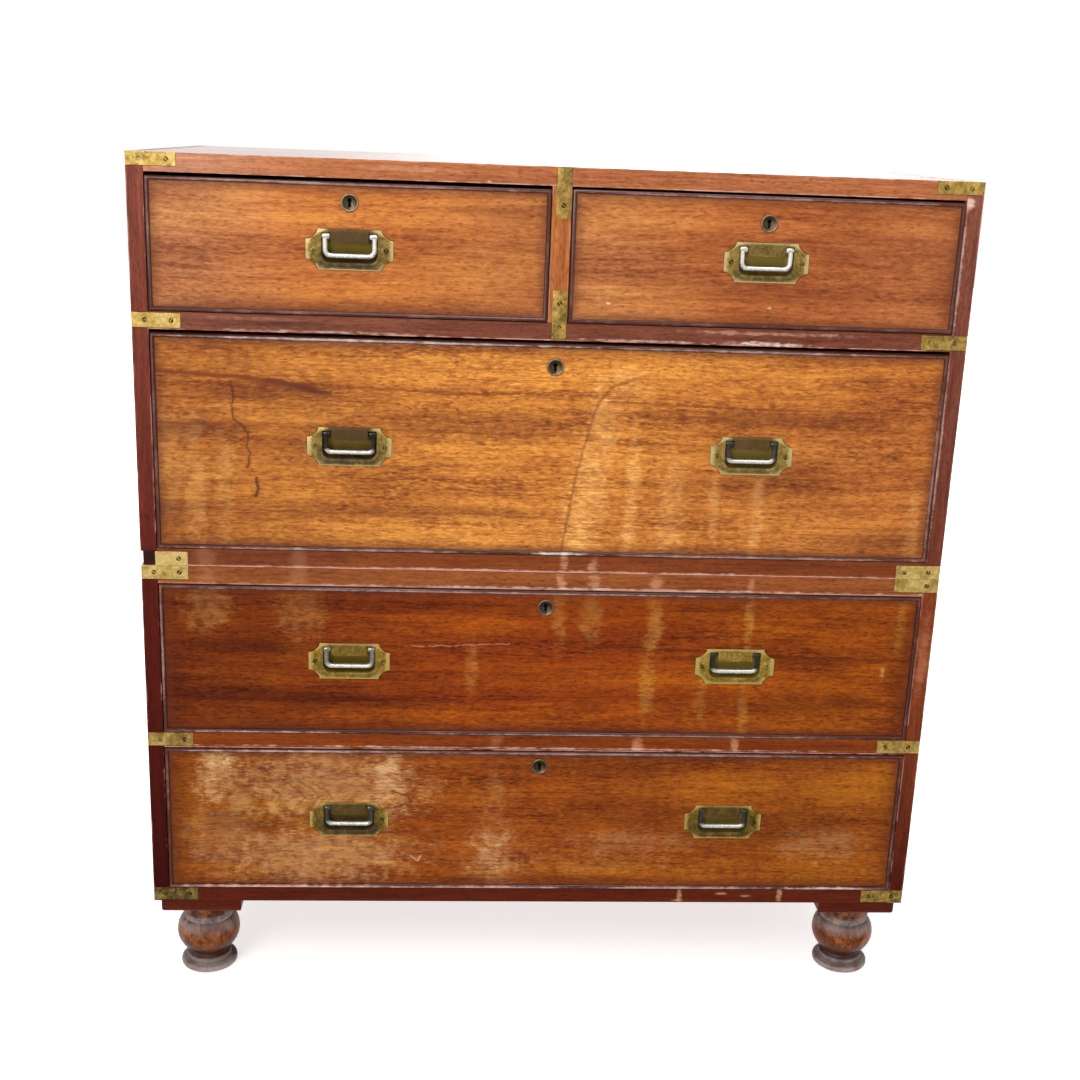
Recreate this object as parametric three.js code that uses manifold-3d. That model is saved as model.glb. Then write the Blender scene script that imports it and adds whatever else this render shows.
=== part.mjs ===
import * as THREE from "three";
import { mergeVertices } from "three/addons/utils/BufferGeometryUtils.js";
import Module from "manifold-3d";

// Campaign chest in two halves: an upper chest of two short drawers over a deep one,
// lifted off a lower chest of two long drawers that stands on four turned feet.
// Lengths are millimetres. X runs to the right, Y to the back and Z up from the floor.

// Carcase: overall sizes and the boards from the floor upwards
const chest_width = 914;
const carcase_depth = 457;
const side_thickness = 18;
const bottom_board = 18;
const bottom_drawer_space = 182;
const lower_rail = 19;
const middle_drawer_space = 181;
const lower_top_board = 21;
const upper_bottom_board = 20;
const deep_drawer_space = 245;
const upper_rail = 19;
const top_drawer_space = 145;
const top_board = 20;
const partition_thickness = 21;
const back_panel = 9;
const back_lap = 8;
const back_plank_count = 7;
const back_groove = 3;

// Joints of the carcase
const fit_gap = 0.3;
const overrun = 2;
const carcase_tail_count = 6;
const carcase_tail_margin = 18;
const carcase_tail_lap = 5;
const tail_slope_share = 1 / 6;
const tail_root_share = 0.6;
const housing_depth = 6;
const housing_setback = 12;

// Dustboards behind the rails, and the stops that the drawer fronts meet
const rail_depth = 60;
const runner_width = 44;
const dustboard_sink = 5;
const stop_width = 40;
const stop_depth = 18;
const stop_height = 4;
const stop_place_share = 0.3;

// Pegs that locate the upper chest on the lower one
const peg_diameter = 14;
const peg_height = 9;
const peg_taper = 2;
const peg_inset_x = 60;
const peg_inset_y = 60;

// Foot blocks and turned feet
const block_size = 95;
const block_height = 20;
const block_inset = 7;
const block_round = 5;
const foot_height = 94;
const foot_collar_diameter = 61;
const foot_collar_height = 28;
const foot_collar_step = 1;
const foot_ball_diameter = 76;
const foot_ball_height = 45;
const foot_neck_diameter = 47;
const foot_neck_height = 20;
const foot_ring_diameter = 54;
const foot_ring_height = 3;
const foot_base_diameter = 68;
const foot_base_height = 8;
const foot_cove_height = 14;
const foot_sole_diameter = 60;
const foot_belly_share = 0.5;
const foot_shoulder_share = 0.33;
const spigot_diameter = 24;
const spigot_length = 24;
const turning_sides = 16;
const foot_curve_steps = 3;

// Drawer fronts and their cock bead
const front_thickness = 22;
const front_side_gap = 1;
const front_foot_gap = 0.8;
const lower_front_top_gap = 1;
const deep_front_top_gap = 4;
const top_left_front_top_gap = 3.8;
const top_right_front_top_gap = 2.5;
const bead_width = 4.5;
const bead_proud = 2.5;
const bead_depth = 5;
const bead_round = 1.8;

// Drawer boxes
const lining = 10;
const drawer_bottom = 7;
const drawer_bottom_raise = 9;
const drawer_groove = 6;
const drawer_side_drop = 3;
const drawer_back_drop = 12;
const drawer_rear_gap = 12;
const drawer_lap = 6;
const drawer_tail_pitch = 42;

// Locks
const nozzle_diameter = 19;
const nozzle_proud = 1.4;
const nozzle_round = 1;
const keyhole_diameter = 5;
const keyhole_slot = 2.6;
const keyhole_drop = 7;
const keyhole_depth = 10;
const keyhole_sides = 10;
const lock_width = 70;
const lock_height = 48;
const lock_proud = 1.2;
const bolt_width = 24;
const bolt_thickness = 6;
const bolt_height = 16;
const bolt_setback = 13;
const mortise_depth = 8;

// How far each nozzle's middle lies below the top edge of its front
const bottom_nozzle_drop = 19;
const middle_nozzle_drop = 20.5;
const deep_nozzle_drop = 25.5;
const top_left_nozzle_drop = 21.2;
const top_right_nozzle_drop = 29;

// Recessed handles: plate, sunk cup and drop bail
const plate_width = 93;
const plate_height = 43;
const plate_thickness = 2;
const plate_proud = 0.5;
const plate_corner_x = 12.5;
const plate_corner_z = 11;
const plate_nib = 1.6;
const plate_scoop_share = 0.22;
const bail_rod = 5.2;
const bail_half_span = 26.4;
const bail_side_gap = 1;
const bail_drop = 20.8;
const bail_bend = 7;
const knuckle_diameter = 6.4;
const knuckle_length = 8.4;
const pivot_height = 14;
const pivot_setback = 2.6;
const tongue_gap = 0.8;
const tongue_reach = 11;
const cup_half_width = bail_half_span + bail_rod / 2 + bail_side_gap;
const cup_top = 17.6;
const cup_bottom = 14;
const cup_corner = 9;
const cup_depth = 13;
const cup_wall = 1.4;
const cup_cheek = 4;
const trunnion_diameter = 2.8;
const trunnion_length = 2.8;
const octagon_share = 1 / (2 + Math.SQRT2);
const bail_bend_steps = 2;
const pin_sides = 8;

// Let-in brass straps
const strap_thickness = 2;
const strap_length = 52;
const strap_height = 16;
const strap_return = 50;
const corner_strap_height = 14;
const broken_strap_loss = 16;
const centre_strap_width = 16;
const centre_strap_length = 54;
const centre_strap_shift = 2;
const bottom_strap_lift = 1;

// Heights of the boards and of the drawer openings
const carcase_z = foot_height + block_height;
const bottom_drawer_z = carcase_z + bottom_board;
const lower_rail_z = bottom_drawer_z + bottom_drawer_space;
const middle_drawer_z = lower_rail_z + lower_rail;
const lower_top_z = middle_drawer_z + middle_drawer_space;
const halves_z = lower_top_z + lower_top_board;
const deep_drawer_z = halves_z + upper_bottom_board;
const upper_rail_z = deep_drawer_z + deep_drawer_space;
const top_drawer_z = upper_rail_z + upper_rail;
const top_z = top_drawer_z + top_drawer_space;
const chest_height = top_z + top_board;
const outer_half = chest_width / 2;
const inner_half = outer_half - side_thickness;
const partition_half = partition_thickness / 2;
const handle_x = (inner_half + partition_half) / 2;
const foot_inset = block_inset + block_size / 2;
const knuckle_end = cup_half_width - fit_gap * 2;
const back_front_y = carcase_depth - back_panel;
const tail_length = side_thickness - carcase_tail_lap;
const carcase_tail_end = carcase_depth - carcase_tail_margin;

const wasm = await Module();
wasm.setup();

function solid_of(geometry) {
  const bare = geometry.clone();
  bare.deleteAttribute("normal");
  bare.deleteAttribute("uv");
  const merged = mergeVertices(bare, 1e-4);
  const mesh = new wasm.Mesh({
    numProp: 3,
    vertProperties: new Float32Array(merged.attributes.position.array),
    triVerts: new Uint32Array(merged.index.array),
  });
  return new wasm.Manifold(mesh);
}

function geometry_of(solid) {
  const mesh = solid.getMesh();
  const geometry = new THREE.BufferGeometry();
  geometry.setAttribute("position", new THREE.BufferAttribute(mesh.vertProperties, 3));
  geometry.setIndex(new THREE.BufferAttribute(mesh.triVerts, 1));
  geometry.computeVertexNormals();
  return geometry;
}

// A rectangular block between two corners, given in any order along each axis
function block(xs, ys, zs) {
  const low = new THREE.Vector3(Math.min(...xs), Math.min(...ys), Math.min(...zs));
  const high = new THREE.Vector3(Math.max(...xs), Math.max(...ys), Math.max(...zs));
  const size = high.clone().sub(low);
  const centre = high.clone().add(low).multiplyScalar(0.5);
  const box = new THREE.BoxGeometry(size.x, size.y, size.z);
  box.translate(centre.x, centre.y, centre.z);
  return solid_of(box);
}

function outline(points) {
  return new THREE.Shape(points.map(([u, v]) => new THREE.Vector2(u, v)));
}

// An outline drawn in plan, raised from one height to another
function raise_plan(shape, z_low, z_high, options = {}) {
  const body = new THREE.ExtrudeGeometry(shape, { depth: z_high - z_low, bevelEnabled: false, ...options });
  body.translate(0, 0, z_low);
  return solid_of(body);
}

// An outline drawn as seen from the front, in X and Z, carried back from one depth to another
function carry_back(shape, y_front, y_back, options = {}) {
  const body = new THREE.ExtrudeGeometry(shape, { depth: y_back - y_front, bevelEnabled: false, ...options });
  body.rotateX(Math.PI / 2);
  body.translate(0, y_back, 0);
  return solid_of(body);
}

// An outline drawn as seen from the right, in Y and Z, carried along X
function carry_across(shape, x_low, x_high) {
  const body = new THREE.ExtrudeGeometry(shape, { depth: x_high - x_low, bevelEnabled: false });
  body.rotateY(Math.PI / 2);
  body.rotateX(Math.PI / 2);
  body.translate(x_low, 0, 0);
  return solid_of(body);
}

// A round bar between two ends, given in any order
function rod_across(x_from, x_to, y, z, diameter, sides) {
  const rod = new THREE.CylinderGeometry(diameter / 2, diameter / 2, Math.abs(x_to - x_from), sides);
  rod.rotateZ(Math.PI / 2);
  rod.translate((x_from + x_to) / 2, y, z);
  return solid_of(rod);
}

function join(first, ...others) {
  return others.reduce((whole, other) => whole.add(other), first);
}

function cut(whole, ...tools) {
  return tools.reduce((left, tool) => left.subtract(tool), whole);
}

// Materials
const mahogany = new THREE.MeshStandardMaterial({ color: 0x6b2a18, roughness: 0.45 });
const figured_mahogany = new THREE.MeshStandardMaterial({ color: 0xb5622e, roughness: 0.4 });
const oak_lining = new THREE.MeshStandardMaterial({ color: 0xb08a5a, roughness: 0.7 });
const back_pine = new THREE.MeshStandardMaterial({ color: 0x8a6238, roughness: 0.8 });
const brass = new THREE.MeshStandardMaterial({ color: 0xb59a4a, roughness: 0.35, metalness: 1 });
const bright_metal = new THREE.MeshStandardMaterial({ color: 0xcfcac4, roughness: 0.25, metalness: 1 });
const lock_steel = new THREE.MeshStandardMaterial({ color: 0x6a6460, roughness: 0.4, metalness: 1 });
const turned_mahogany = new THREE.MeshStandardMaterial({ color: 0x4a2418, roughness: 0.5 });

const chest = new THREE.Group();

function add_piece(name, solid, material) {
  const mesh = new THREE.Mesh(geometry_of(solid), material);
  mesh.name = name;
  chest.add(mesh);
}

// The corners of one dovetail: u runs from the shoulder to the tip and v along the joint
function tail_points(centre, pitch, length, grow) {
  const root = (pitch * tail_root_share) / 2 + grow;
  const tip = root + length * tail_slope_share;
  return [[0, centre - root], [length, centre - tip], [length, centre + tip], [0, centre + root]];
}

function tail_centres(start, end, count) {
  const pitch = (end - start) / count;
  return Array.from({ length: count }, (_, index) => start + pitch * (index + 0.5));
}

const carcase_tails = tail_centres(carcase_tail_margin, carcase_tail_end, carcase_tail_count);
const carcase_tail_pitch = (carcase_tail_end - carcase_tail_margin) / carcase_tail_count;

// A horizontal carcase board, with a row of tails along each end
function tailed_board(z_low, z_high) {
  const shoulder = inner_half - fit_gap;
  const right = [];
  for (const centre of carcase_tails) {
    for (const [u, v] of tail_points(centre, carcase_tail_pitch, tail_length, 0)) {
      right.push([shoulder + u, v]);
    }
  }
  const left = right.map(([x, y]) => [-x, y]).reverse();
  const plan = [[-shoulder, 0], [shoulder, 0], ...right];
  plan.push([shoulder, carcase_depth], [-shoulder, carcase_depth], ...left);
  return raise_plan(outline(plan), z_low, z_high);
}

// The sockets in one side that take a board's tails
function tail_sockets(sign, z_low, z_high) {
  const sockets = carcase_tails.map((centre) => {
    const plan = tail_points(centre, carcase_tail_pitch, tail_length, fit_gap);
    const inward = [[-overrun, plan[0][1]], ...plan, [-overrun, plan[3][1]]];
    const shape = outline(inward.map(([u, v]) => [sign * (inner_half + u), v]));
    return raise_plan(shape, z_low, z_high);
  });
  return join(...sockets);
}

// Straps: each is a solid, and a slightly larger cutter for the recess that it lies in
function corner_bracket(sign, z_low, z_high, grow) {
  const outer = sign * (outer_half + (grow > 0 ? overrun : 0));
  const front = grow > 0 ? -overrun : 0;
  const skin = strap_thickness + grow;
  const face = sign * (outer_half - skin);
  const inner = sign * (outer_half - strap_length - grow);
  const rear = strap_return + grow;
  const front_leg = [[outer, front], [inner, front], [inner, skin], [face, skin]];
  const plan = outline([...front_leg, [face, rear], [outer, rear]]);
  return raise_plan(plan, z_low - grow, z_high + grow);
}

// The top corners also turn over the edge on to the top of the chest
function top_corner_bracket(sign, grow) {
  const z_low = chest_height - corner_strap_height;
  const roof = chest_height + (grow > 0 ? overrun : 0);
  const outer = sign * (outer_half + (grow > 0 ? overrun : 0));
  const front = grow > 0 ? -overrun : 0;
  const wall = corner_bracket(sign, z_low, chest_height + grow, grow);
  const leg = corner_strap_height + grow;
  const inner = sign * (outer_half - strap_length - grow);
  const side = sign * (outer_half - leg);
  const rear = strap_return + grow;
  const front_leg = [[outer, front], [inner, front], [inner, leg], [side, leg]];
  const plan = outline([...front_leg, [side, rear], [outer, rear]]);
  return join(wall, raise_plan(plan, chest_height - strap_thickness - grow, roof));
}

function rail_strap_heights(z_low, thickness) {
  const middle = z_low + thickness / 2;
  return [middle - strap_height / 2, middle + strap_height / 2];
}

const strap_places = {
  bottom_corner: [carcase_z + bottom_strap_lift, carcase_z + bottom_strap_lift + strap_height],
  lower_rail: rail_strap_heights(lower_rail_z, lower_rail),
  lower_top: [halves_z - fit_gap - strap_height, halves_z - fit_gap],
  upper_bottom: [halves_z, halves_z + strap_height],
  upper_rail: rail_strap_heights(upper_rail_z, upper_rail),
};

const strap_cutters = [];
for (const [side_name, sign] of [["left", -1], ["right", 1]]) {
  for (const [place, [z_low, z_high]] of Object.entries(strap_places)) {
    let strap = corner_bracket(sign, z_low, z_high, 0);
    if (side_name === "left" && place === "upper_bottom") {
      // This strap has lost the part that wrapped the corner, and its recess lies open
      const broken_x = -(outer_half - broken_strap_loss);
      const lost_zs = [z_low - overrun, z_high + overrun];
      const lost = block([-chest_width, broken_x], [-overrun, carcase_depth], lost_zs);
      strap = cut(strap, lost);
    }
    add_piece(`${place}_${side_name}_strap`, strap, brass);
    strap_cutters.push(corner_bracket(sign, z_low, z_high, fit_gap));
  }
  add_piece(`top_corner_${side_name}_strap`, top_corner_bracket(sign, 0), brass);
  strap_cutters.push(top_corner_bracket(sign, fit_gap));
}

// The two upright straps over the ends of the partition
function centre_strap(z_low, z_high, grow) {
  const half = centre_strap_width / 2 + grow;
  const front = grow > 0 ? -overrun : 0;
  const xs = [centre_strap_shift - half, centre_strap_shift + half];
  return block(xs, [front, strap_thickness + grow], [z_low - grow, z_high + grow]);
}
const top_centre_strap = [chest_height - centre_strap_length, chest_height - fit_gap * 2];
const low_centre_strap = [upper_rail_z, upper_rail_z + centre_strap_length];
strap_cutters.push(centre_strap(...top_centre_strap, fit_gap));
strap_cutters.push(centre_strap(...low_centre_strap, fit_gap));

// One side of the upper or lower chest
function side_board(sign, z_low, z_high, low_board, high_board, rail_low, rail_high) {
  const xs = [sign * inner_half, sign * outer_half];
  const inner_x = sign * (inner_half - overrun);
  const rebate_x = sign * (inner_half + back_lap + fit_gap);
  const housing_x = sign * (inner_half + housing_depth + fit_gap);
  const rebate_ys = [back_front_y - fit_gap, carcase_depth + overrun];
  return cut(
    block(xs, [0, carcase_depth], [z_low, z_high]),
    tail_sockets(sign, z_low - overrun, z_low + low_board + fit_gap),
    tail_sockets(sign, z_high - high_board - fit_gap, z_high + overrun),
    block([inner_x, rebate_x], rebate_ys, [z_low - overrun, z_high + overrun]),
    block([inner_x, housing_x], [housing_setback, carcase_depth], [rail_low - fit_gap, rail_high + fit_gap]),
    ...strap_cutters,
  );
}

// The rebate along the back edge of a horizontal board, below or above it
function back_rebate(z_low, z_high) {
  const ys = [back_front_y - fit_gap, carcase_depth + overrun];
  return block([-chest_width, chest_width], ys, [z_low, z_high]);
}

// A rail with its runners and dustboard in one, tongued into both sides
function divider(z_low, thickness, centre_runner) {
  const shoulder = inner_half - fit_gap;
  const tongue = inner_half + housing_depth;
  const rear = back_front_y - fit_gap;
  const start = housing_setback + fit_gap;
  const plan = [[-shoulder, 0], [shoulder, 0], [shoulder, start], [tongue, start], [tongue, rear]];
  plan.push([-tongue, rear], [-tongue, start], [-shoulder, start]);
  const z_high = z_low + thickness;
  const panel_half = inner_half - runner_width;
  const ys = [rail_depth, rear - runner_width];
  const halves = [[-panel_half, -runner_width], [runner_width, panel_half]];
  const panels = centre_runner ? halves : [[-panel_half, panel_half]];
  const sinks = panels.flatMap((xs) => [
    block(xs, ys, [z_low - overrun, z_low + dustboard_sink]),
    block(xs, ys, [z_high - dustboard_sink, z_high + overrun]),
  ]);
  return cut(raise_plan(outline(plan), z_low, z_high), ...sinks, ...strap_cutters);
}

function drawer_stops(z_low, centres) {
  const y_front = front_thickness + fit_gap * 2;
  return centres.map((x) => {
    const xs = [x - stop_width / 2, x + stop_width / 2];
    return block(xs, [y_front, y_front + stop_depth], [z_low - overrun, z_low + stop_height]);
  });
}
const long_stops = [-chest_width * stop_place_share, chest_width * stop_place_share];
const short_stops = [-handle_x, handle_x];

// Drawers, from the floor upwards: the opening, the gap over the front and the nozzle's drop from its top
const long_handles = { left: -handle_x, right: handle_x };
const long_xs = [-inner_half, inner_half];
const drawers = [
  { name: "bottom_drawer", xs: long_xs, z: bottom_drawer_z, space: bottom_drawer_space,
    top_gap: lower_front_top_gap, nozzle_drop: bottom_nozzle_drop, handles: long_handles },
  { name: "middle_drawer", xs: long_xs, z: middle_drawer_z, space: middle_drawer_space,
    top_gap: lower_front_top_gap, nozzle_drop: middle_nozzle_drop, handles: long_handles },
  { name: "deep_drawer", xs: long_xs, z: deep_drawer_z, space: deep_drawer_space,
    top_gap: deep_front_top_gap, nozzle_drop: deep_nozzle_drop, handles: long_handles },
  { name: "top_left_drawer", xs: [-inner_half, -partition_half], z: top_drawer_z, space: top_drawer_space,
    top_gap: top_left_front_top_gap, nozzle_drop: top_left_nozzle_drop, handles: { only: -handle_x } },
  { name: "top_right_drawer", xs: [partition_half, inner_half], z: top_drawer_z, space: top_drawer_space,
    top_gap: top_right_front_top_gap, nozzle_drop: top_right_nozzle_drop, handles: { only: handle_x } },
];

function drawer_frame(drawer) {
  const x_low = drawer.xs[0] + front_side_gap;
  const x_high = drawer.xs[1] - front_side_gap;
  const z_high = drawer.z + drawer.space - drawer.top_gap;
  return { x_low, x_high, x_mid: (x_low + x_high) / 2, z_low: drawer.z + front_foot_gap, z_high };
}

// The mortises in the boards above, that the lock bolts rise into
const bolt_mortises = drawers.map((drawer) => {
  const { x_mid } = drawer_frame(drawer);
  const half = bolt_width / 2 + fit_gap;
  const ys = [bolt_setback - fit_gap, bolt_setback + bolt_thickness + fit_gap];
  const ceiling = drawer.z + drawer.space;
  return block([x_mid - half, x_mid + half], ys, [ceiling - overrun, ceiling + mortise_depth]);
});

// Lower chest
const lower_top = halves_z - fit_gap;
const foot_places = [];
for (const [side_name, sign] of [["left", -1], ["right", 1]]) {
  const x = sign * (outer_half - foot_inset);
  foot_places.push([`front_${side_name}_foot`, x, foot_inset]);
  foot_places.push([`back_${side_name}_foot`, x, carcase_depth - foot_inset]);
}

// A square block with rounded lower edges, that carries one foot: its core is glued to the board
function foot_block(x, y) {
  const half = block_size / 2;
  const sign_x = Math.sign(x);
  const centre_x = sign_x * (outer_half - block_inset - half);
  const front = y < carcase_depth / 2;
  const centre_y = front ? block_inset + half : carcase_depth - block_inset - half;
  const top = block_height - fit_gap;
  const rounded = new THREE.Shape();
  rounded.moveTo(-half + block_round, 0);
  rounded.lineTo(half - block_round, 0);
  rounded.absarc(half - block_round, block_round, block_round, -Math.PI / 2, 0);
  rounded.lineTo(half, top);
  rounded.lineTo(-half, top);
  rounded.absarc(-half + block_round, block_round, block_round, Math.PI, Math.PI * 1.5);
  const along = carry_back(rounded, -half, half, { curveSegments: 2 });
  const across = along.rotate([0, 0, 90]);
  const slab = along.intersect(across).translate([centre_x, centre_y, foot_height]);
  const core_xs = [centre_x - sign_x * (half - overrun), sign_x * (inner_half - overrun)];
  const core_ys = [centre_y - half + overrun, centre_y + half - overrun];
  return join(slab, block(core_xs, core_ys, [carcase_z - overrun, carcase_z + overrun]));
}

function spigot_hole(x, y) {
  const radius = spigot_diameter / 2 + fit_gap;
  const hole = new THREE.CylinderGeometry(radius, radius, spigot_length + fit_gap + overrun, turning_sides);
  hole.rotateX(Math.PI / 2);
  hole.translate(x, y, foot_height + (spigot_length + fit_gap - overrun) / 2);
  return solid_of(hole);
}

const lower_bottom = cut(
  join(
    tailed_board(carcase_z, bottom_drawer_z),
    ...foot_places.map(([, x, y]) => foot_block(x, y)),
    ...drawer_stops(bottom_drawer_z, long_stops),
  ),
  back_rebate(bottom_drawer_z - back_lap - fit_gap, bottom_drawer_z + overrun),
  ...foot_places.map(([, x, y]) => spigot_hole(x, y)),
  ...strap_cutters,
);
add_piece("lower_bottom_board", lower_bottom, mahogany);

const peg_places = [];
for (const sign of [-1, 1]) {
  peg_places.push([sign * (inner_half - peg_inset_x), peg_inset_y]);
  peg_places.push([sign * (inner_half - peg_inset_x), carcase_depth - peg_inset_y]);
}

function peg(x, y, grow) {
  const top = peg_diameter / 2 - peg_taper + grow;
  const body = new THREE.CylinderGeometry(top, peg_diameter / 2 + grow, peg_height + overrun + grow, 10);
  body.rotateX(Math.PI / 2);
  body.translate(x, y, lower_top + (peg_height - overrun + grow) / 2);
  return solid_of(body);
}

const lower_top_piece = cut(
  join(tailed_board(lower_top_z, lower_top), ...peg_places.map(([x, y]) => peg(x, y, 0))),
  back_rebate(lower_top_z - overrun, lower_top_z + back_lap + fit_gap),
  ...bolt_mortises,
  ...strap_cutters,
);
add_piece("lower_top_board", lower_top_piece, mahogany);

for (const [side_name, sign] of [["left", -1], ["right", 1]]) {
  const board = side_board(sign, carcase_z, lower_top, bottom_board, lower_top_board - fit_gap,
    lower_rail_z, lower_rail_z + lower_rail);
  add_piece(`lower_${side_name}_side`, board, mahogany);
}

const middle_stops = drawer_stops(middle_drawer_z, long_stops);
const lower_divider = join(divider(lower_rail_z, lower_rail, false), ...middle_stops);
add_piece("lower_drawer_rail", cut(lower_divider, ...bolt_mortises), mahogany);

// Planks of a back panel, with a V groove at each joint
function back_piece(z_low, z_high) {
  const half = inner_half + back_lap;
  const spacing = (half * 2) / back_plank_count;
  const panel = block([-half, half], [back_front_y, carcase_depth], [z_low, z_high]);
  const grooves = Array.from({ length: back_plank_count - 1 }, (_, index) => {
    const x = -half + spacing * (index + 1);
    const vee = outline([
      [x - back_groove - overrun, carcase_depth + overrun],
      [x, carcase_depth - back_groove],
      [x + back_groove + overrun, carcase_depth + overrun],
    ]);
    return raise_plan(vee, z_low - overrun, z_high + overrun);
  });
  return cut(panel, ...grooves);
}
add_piece("lower_back_panel", back_piece(bottom_drawer_z - back_lap, lower_top_z + back_lap), back_pine);

// Upper chest
const upper_bottom = cut(
  join(tailed_board(halves_z, deep_drawer_z), ...drawer_stops(deep_drawer_z, long_stops)),
  back_rebate(deep_drawer_z - back_lap - fit_gap, deep_drawer_z + overrun),
  ...peg_places.map(([x, y]) => peg(x, y, fit_gap)),
  ...strap_cutters,
);
add_piece("upper_bottom_board", upper_bottom, mahogany);

for (const [side_name, sign] of [["left", -1], ["right", 1]]) {
  const board = side_board(sign, halves_z, chest_height, upper_bottom_board, top_board,
    upper_rail_z, upper_rail_z + upper_rail);
  add_piece(`upper_${side_name}_side`, board, mahogany);
}

// The partition's tongues are housed in the top board above and in the rail below
function partition_tongue(z_low, z_high, grow) {
  const half = partition_half / 2 + grow;
  const ys = [housing_setback + fit_gap - grow, back_front_y - fit_gap + grow];
  return block([-half, half], ys, [z_low, z_high]);
}
const housing_reach = housing_depth + fit_gap;
const upper_housing = partition_tongue(top_z - overrun, top_z + housing_reach, fit_gap);
const lower_housing = partition_tongue(top_drawer_z - housing_reach, top_drawer_z + overrun, fit_gap);

const top_piece = cut(
  tailed_board(top_z, chest_height),
  back_rebate(top_z - overrun, top_z + back_lap + fit_gap),
  upper_housing,
  ...bolt_mortises,
  ...strap_cutters,
);
add_piece("top_board", top_piece, mahogany);

const top_stops = drawer_stops(top_drawer_z, short_stops);
const upper_divider = join(divider(upper_rail_z, upper_rail, true), ...top_stops);
add_piece("upper_drawer_rail", cut(upper_divider, lower_housing, ...bolt_mortises), mahogany);

const partition_body = block(
  [-partition_half, partition_half],
  [0, back_front_y - fit_gap],
  [top_drawer_z + fit_gap, top_z - fit_gap],
);
const partition = join(
  cut(partition_body, centre_strap(top_centre_strap[0], chest_height, 0)),
  partition_tongue(top_z - overrun, top_z + housing_depth, 0),
  partition_tongue(top_drawer_z - housing_depth, top_drawer_z + overrun, 0),
  centre_strap(...top_centre_strap, 0),
  centre_strap(...low_centre_strap, 0),
);
add_piece("partition", partition, mahogany);
add_piece("upper_back_panel", back_piece(deep_drawer_z - back_lap, top_z + back_lap), back_pine);

// Turned foot: sole, rounded base with a ring in its cove, neck, ball, collar and spigot
function foot_geometry() {
  const neck = foot_neck_diameter / 2;
  const ball = foot_ball_diameter / 2;
  const base = foot_base_diameter / 2;
  const ring = foot_ring_diameter / 2;
  const collar = foot_collar_diameter / 2;
  const collar_z = foot_height - foot_collar_height;
  const belly_z = foot_neck_height + (foot_ball_height - foot_neck_height) * foot_belly_share;
  const shoulder_z = foot_ball_height + (collar_z - foot_ball_height) * foot_shoulder_share;
  const profile = new THREE.Path();
  profile.moveTo(0, 0);
  profile.lineTo(foot_sole_diameter / 2, 0);
  profile.quadraticCurveTo(base, 0, base, foot_base_height);
  profile.quadraticCurveTo(base, foot_cove_height, ring, foot_cove_height);
  profile.lineTo(ring, foot_cove_height + foot_ring_height);
  profile.lineTo(neck, foot_neck_height);
  profile.quadraticCurveTo(ball, belly_z, ball, foot_ball_height);
  profile.quadraticCurveTo(ball, shoulder_z, collar - foot_collar_step, collar_z);
  profile.lineTo(collar, collar_z + foot_collar_step);
  profile.lineTo(collar, foot_height - fit_gap);
  profile.lineTo(spigot_diameter / 2, foot_height - fit_gap);
  profile.lineTo(spigot_diameter / 2, foot_height + spigot_length - fit_gap);
  profile.lineTo(0, foot_height + spigot_length - fit_gap);
  const foot = new THREE.LatheGeometry(profile.getPoints(foot_curve_steps), turning_sides);
  foot.rotateX(Math.PI / 2);
  return foot;
}
const foot_solid = solid_of(foot_geometry());
for (const [name, x, y] of foot_places) {
  add_piece(name, foot_solid.translate([x, y, 0]), turned_mahogany);
}

// The outline of a handle plate: a long rectangle with a nibbed, scooped corner
function plate_outline(grow) {
  const half_x = plate_width / 2 + grow;
  const half_z = plate_height / 2 + grow;
  const corner = [
    [half_x, half_z - plate_corner_z],
    [half_x - plate_nib, half_z - plate_corner_z],
    [half_x - plate_corner_x, half_z - plate_nib],
    [half_x - plate_corner_x, half_z],
  ];
  const from = new THREE.Vector2(...corner[1]);
  const to = new THREE.Vector2(...corner[2]);
  const bulge = new THREE.Vector2(plate_corner_x, plate_corner_z).multiplyScalar(plate_scoop_share);
  const middle = from.clone().add(to).divideScalar(2).sub(bulge);
  const scoop = new THREE.QuadraticBezierCurve(from, middle, to);
  const quarter = [corner[0], ...scoop.getPoints(2).map((point) => [point.x, point.y]), corner[3]];
  const mirrored = quarter.map(([x, z]) => [-x, z]).reverse();
  const upper = [...quarter, ...mirrored];
  const lower = upper.map(([x, z]) => [-x, -z]);
  return outline([...upper, ...lower]);
}

// The mouth of the cup: square at the top, with round lower corners
function cup_outline(side_wall, wall) {
  const half = cup_half_width + side_wall;
  const top = cup_top + wall;
  const bottom = -cup_bottom - wall;
  const mouth = new THREE.Shape();
  mouth.moveTo(half, top);
  mouth.lineTo(-half, top);
  mouth.lineTo(-half, bottom + cup_corner);
  mouth.absarc(-half + cup_corner, bottom + cup_corner, cup_corner, Math.PI, Math.PI * 1.5);
  mouth.lineTo(half - cup_corner, bottom);
  mouth.absarc(half - cup_corner, bottom + cup_corner, cup_corner, -Math.PI / 2, 0);
  return mouth;
}

// The dished section of the cup, seen from the side: its floor sweeps up to the back
function dish_section(wall, front) {
  const depth = cup_depth + wall;
  const bottom = -cup_bottom - wall;
  const section = new THREE.Shape();
  section.moveTo(front, bottom);
  section.quadraticCurveTo(depth, bottom, depth, 0);
  section.lineTo(depth, cup_top + wall);
  section.lineTo(front, cup_top + wall);
  return section;
}

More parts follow.
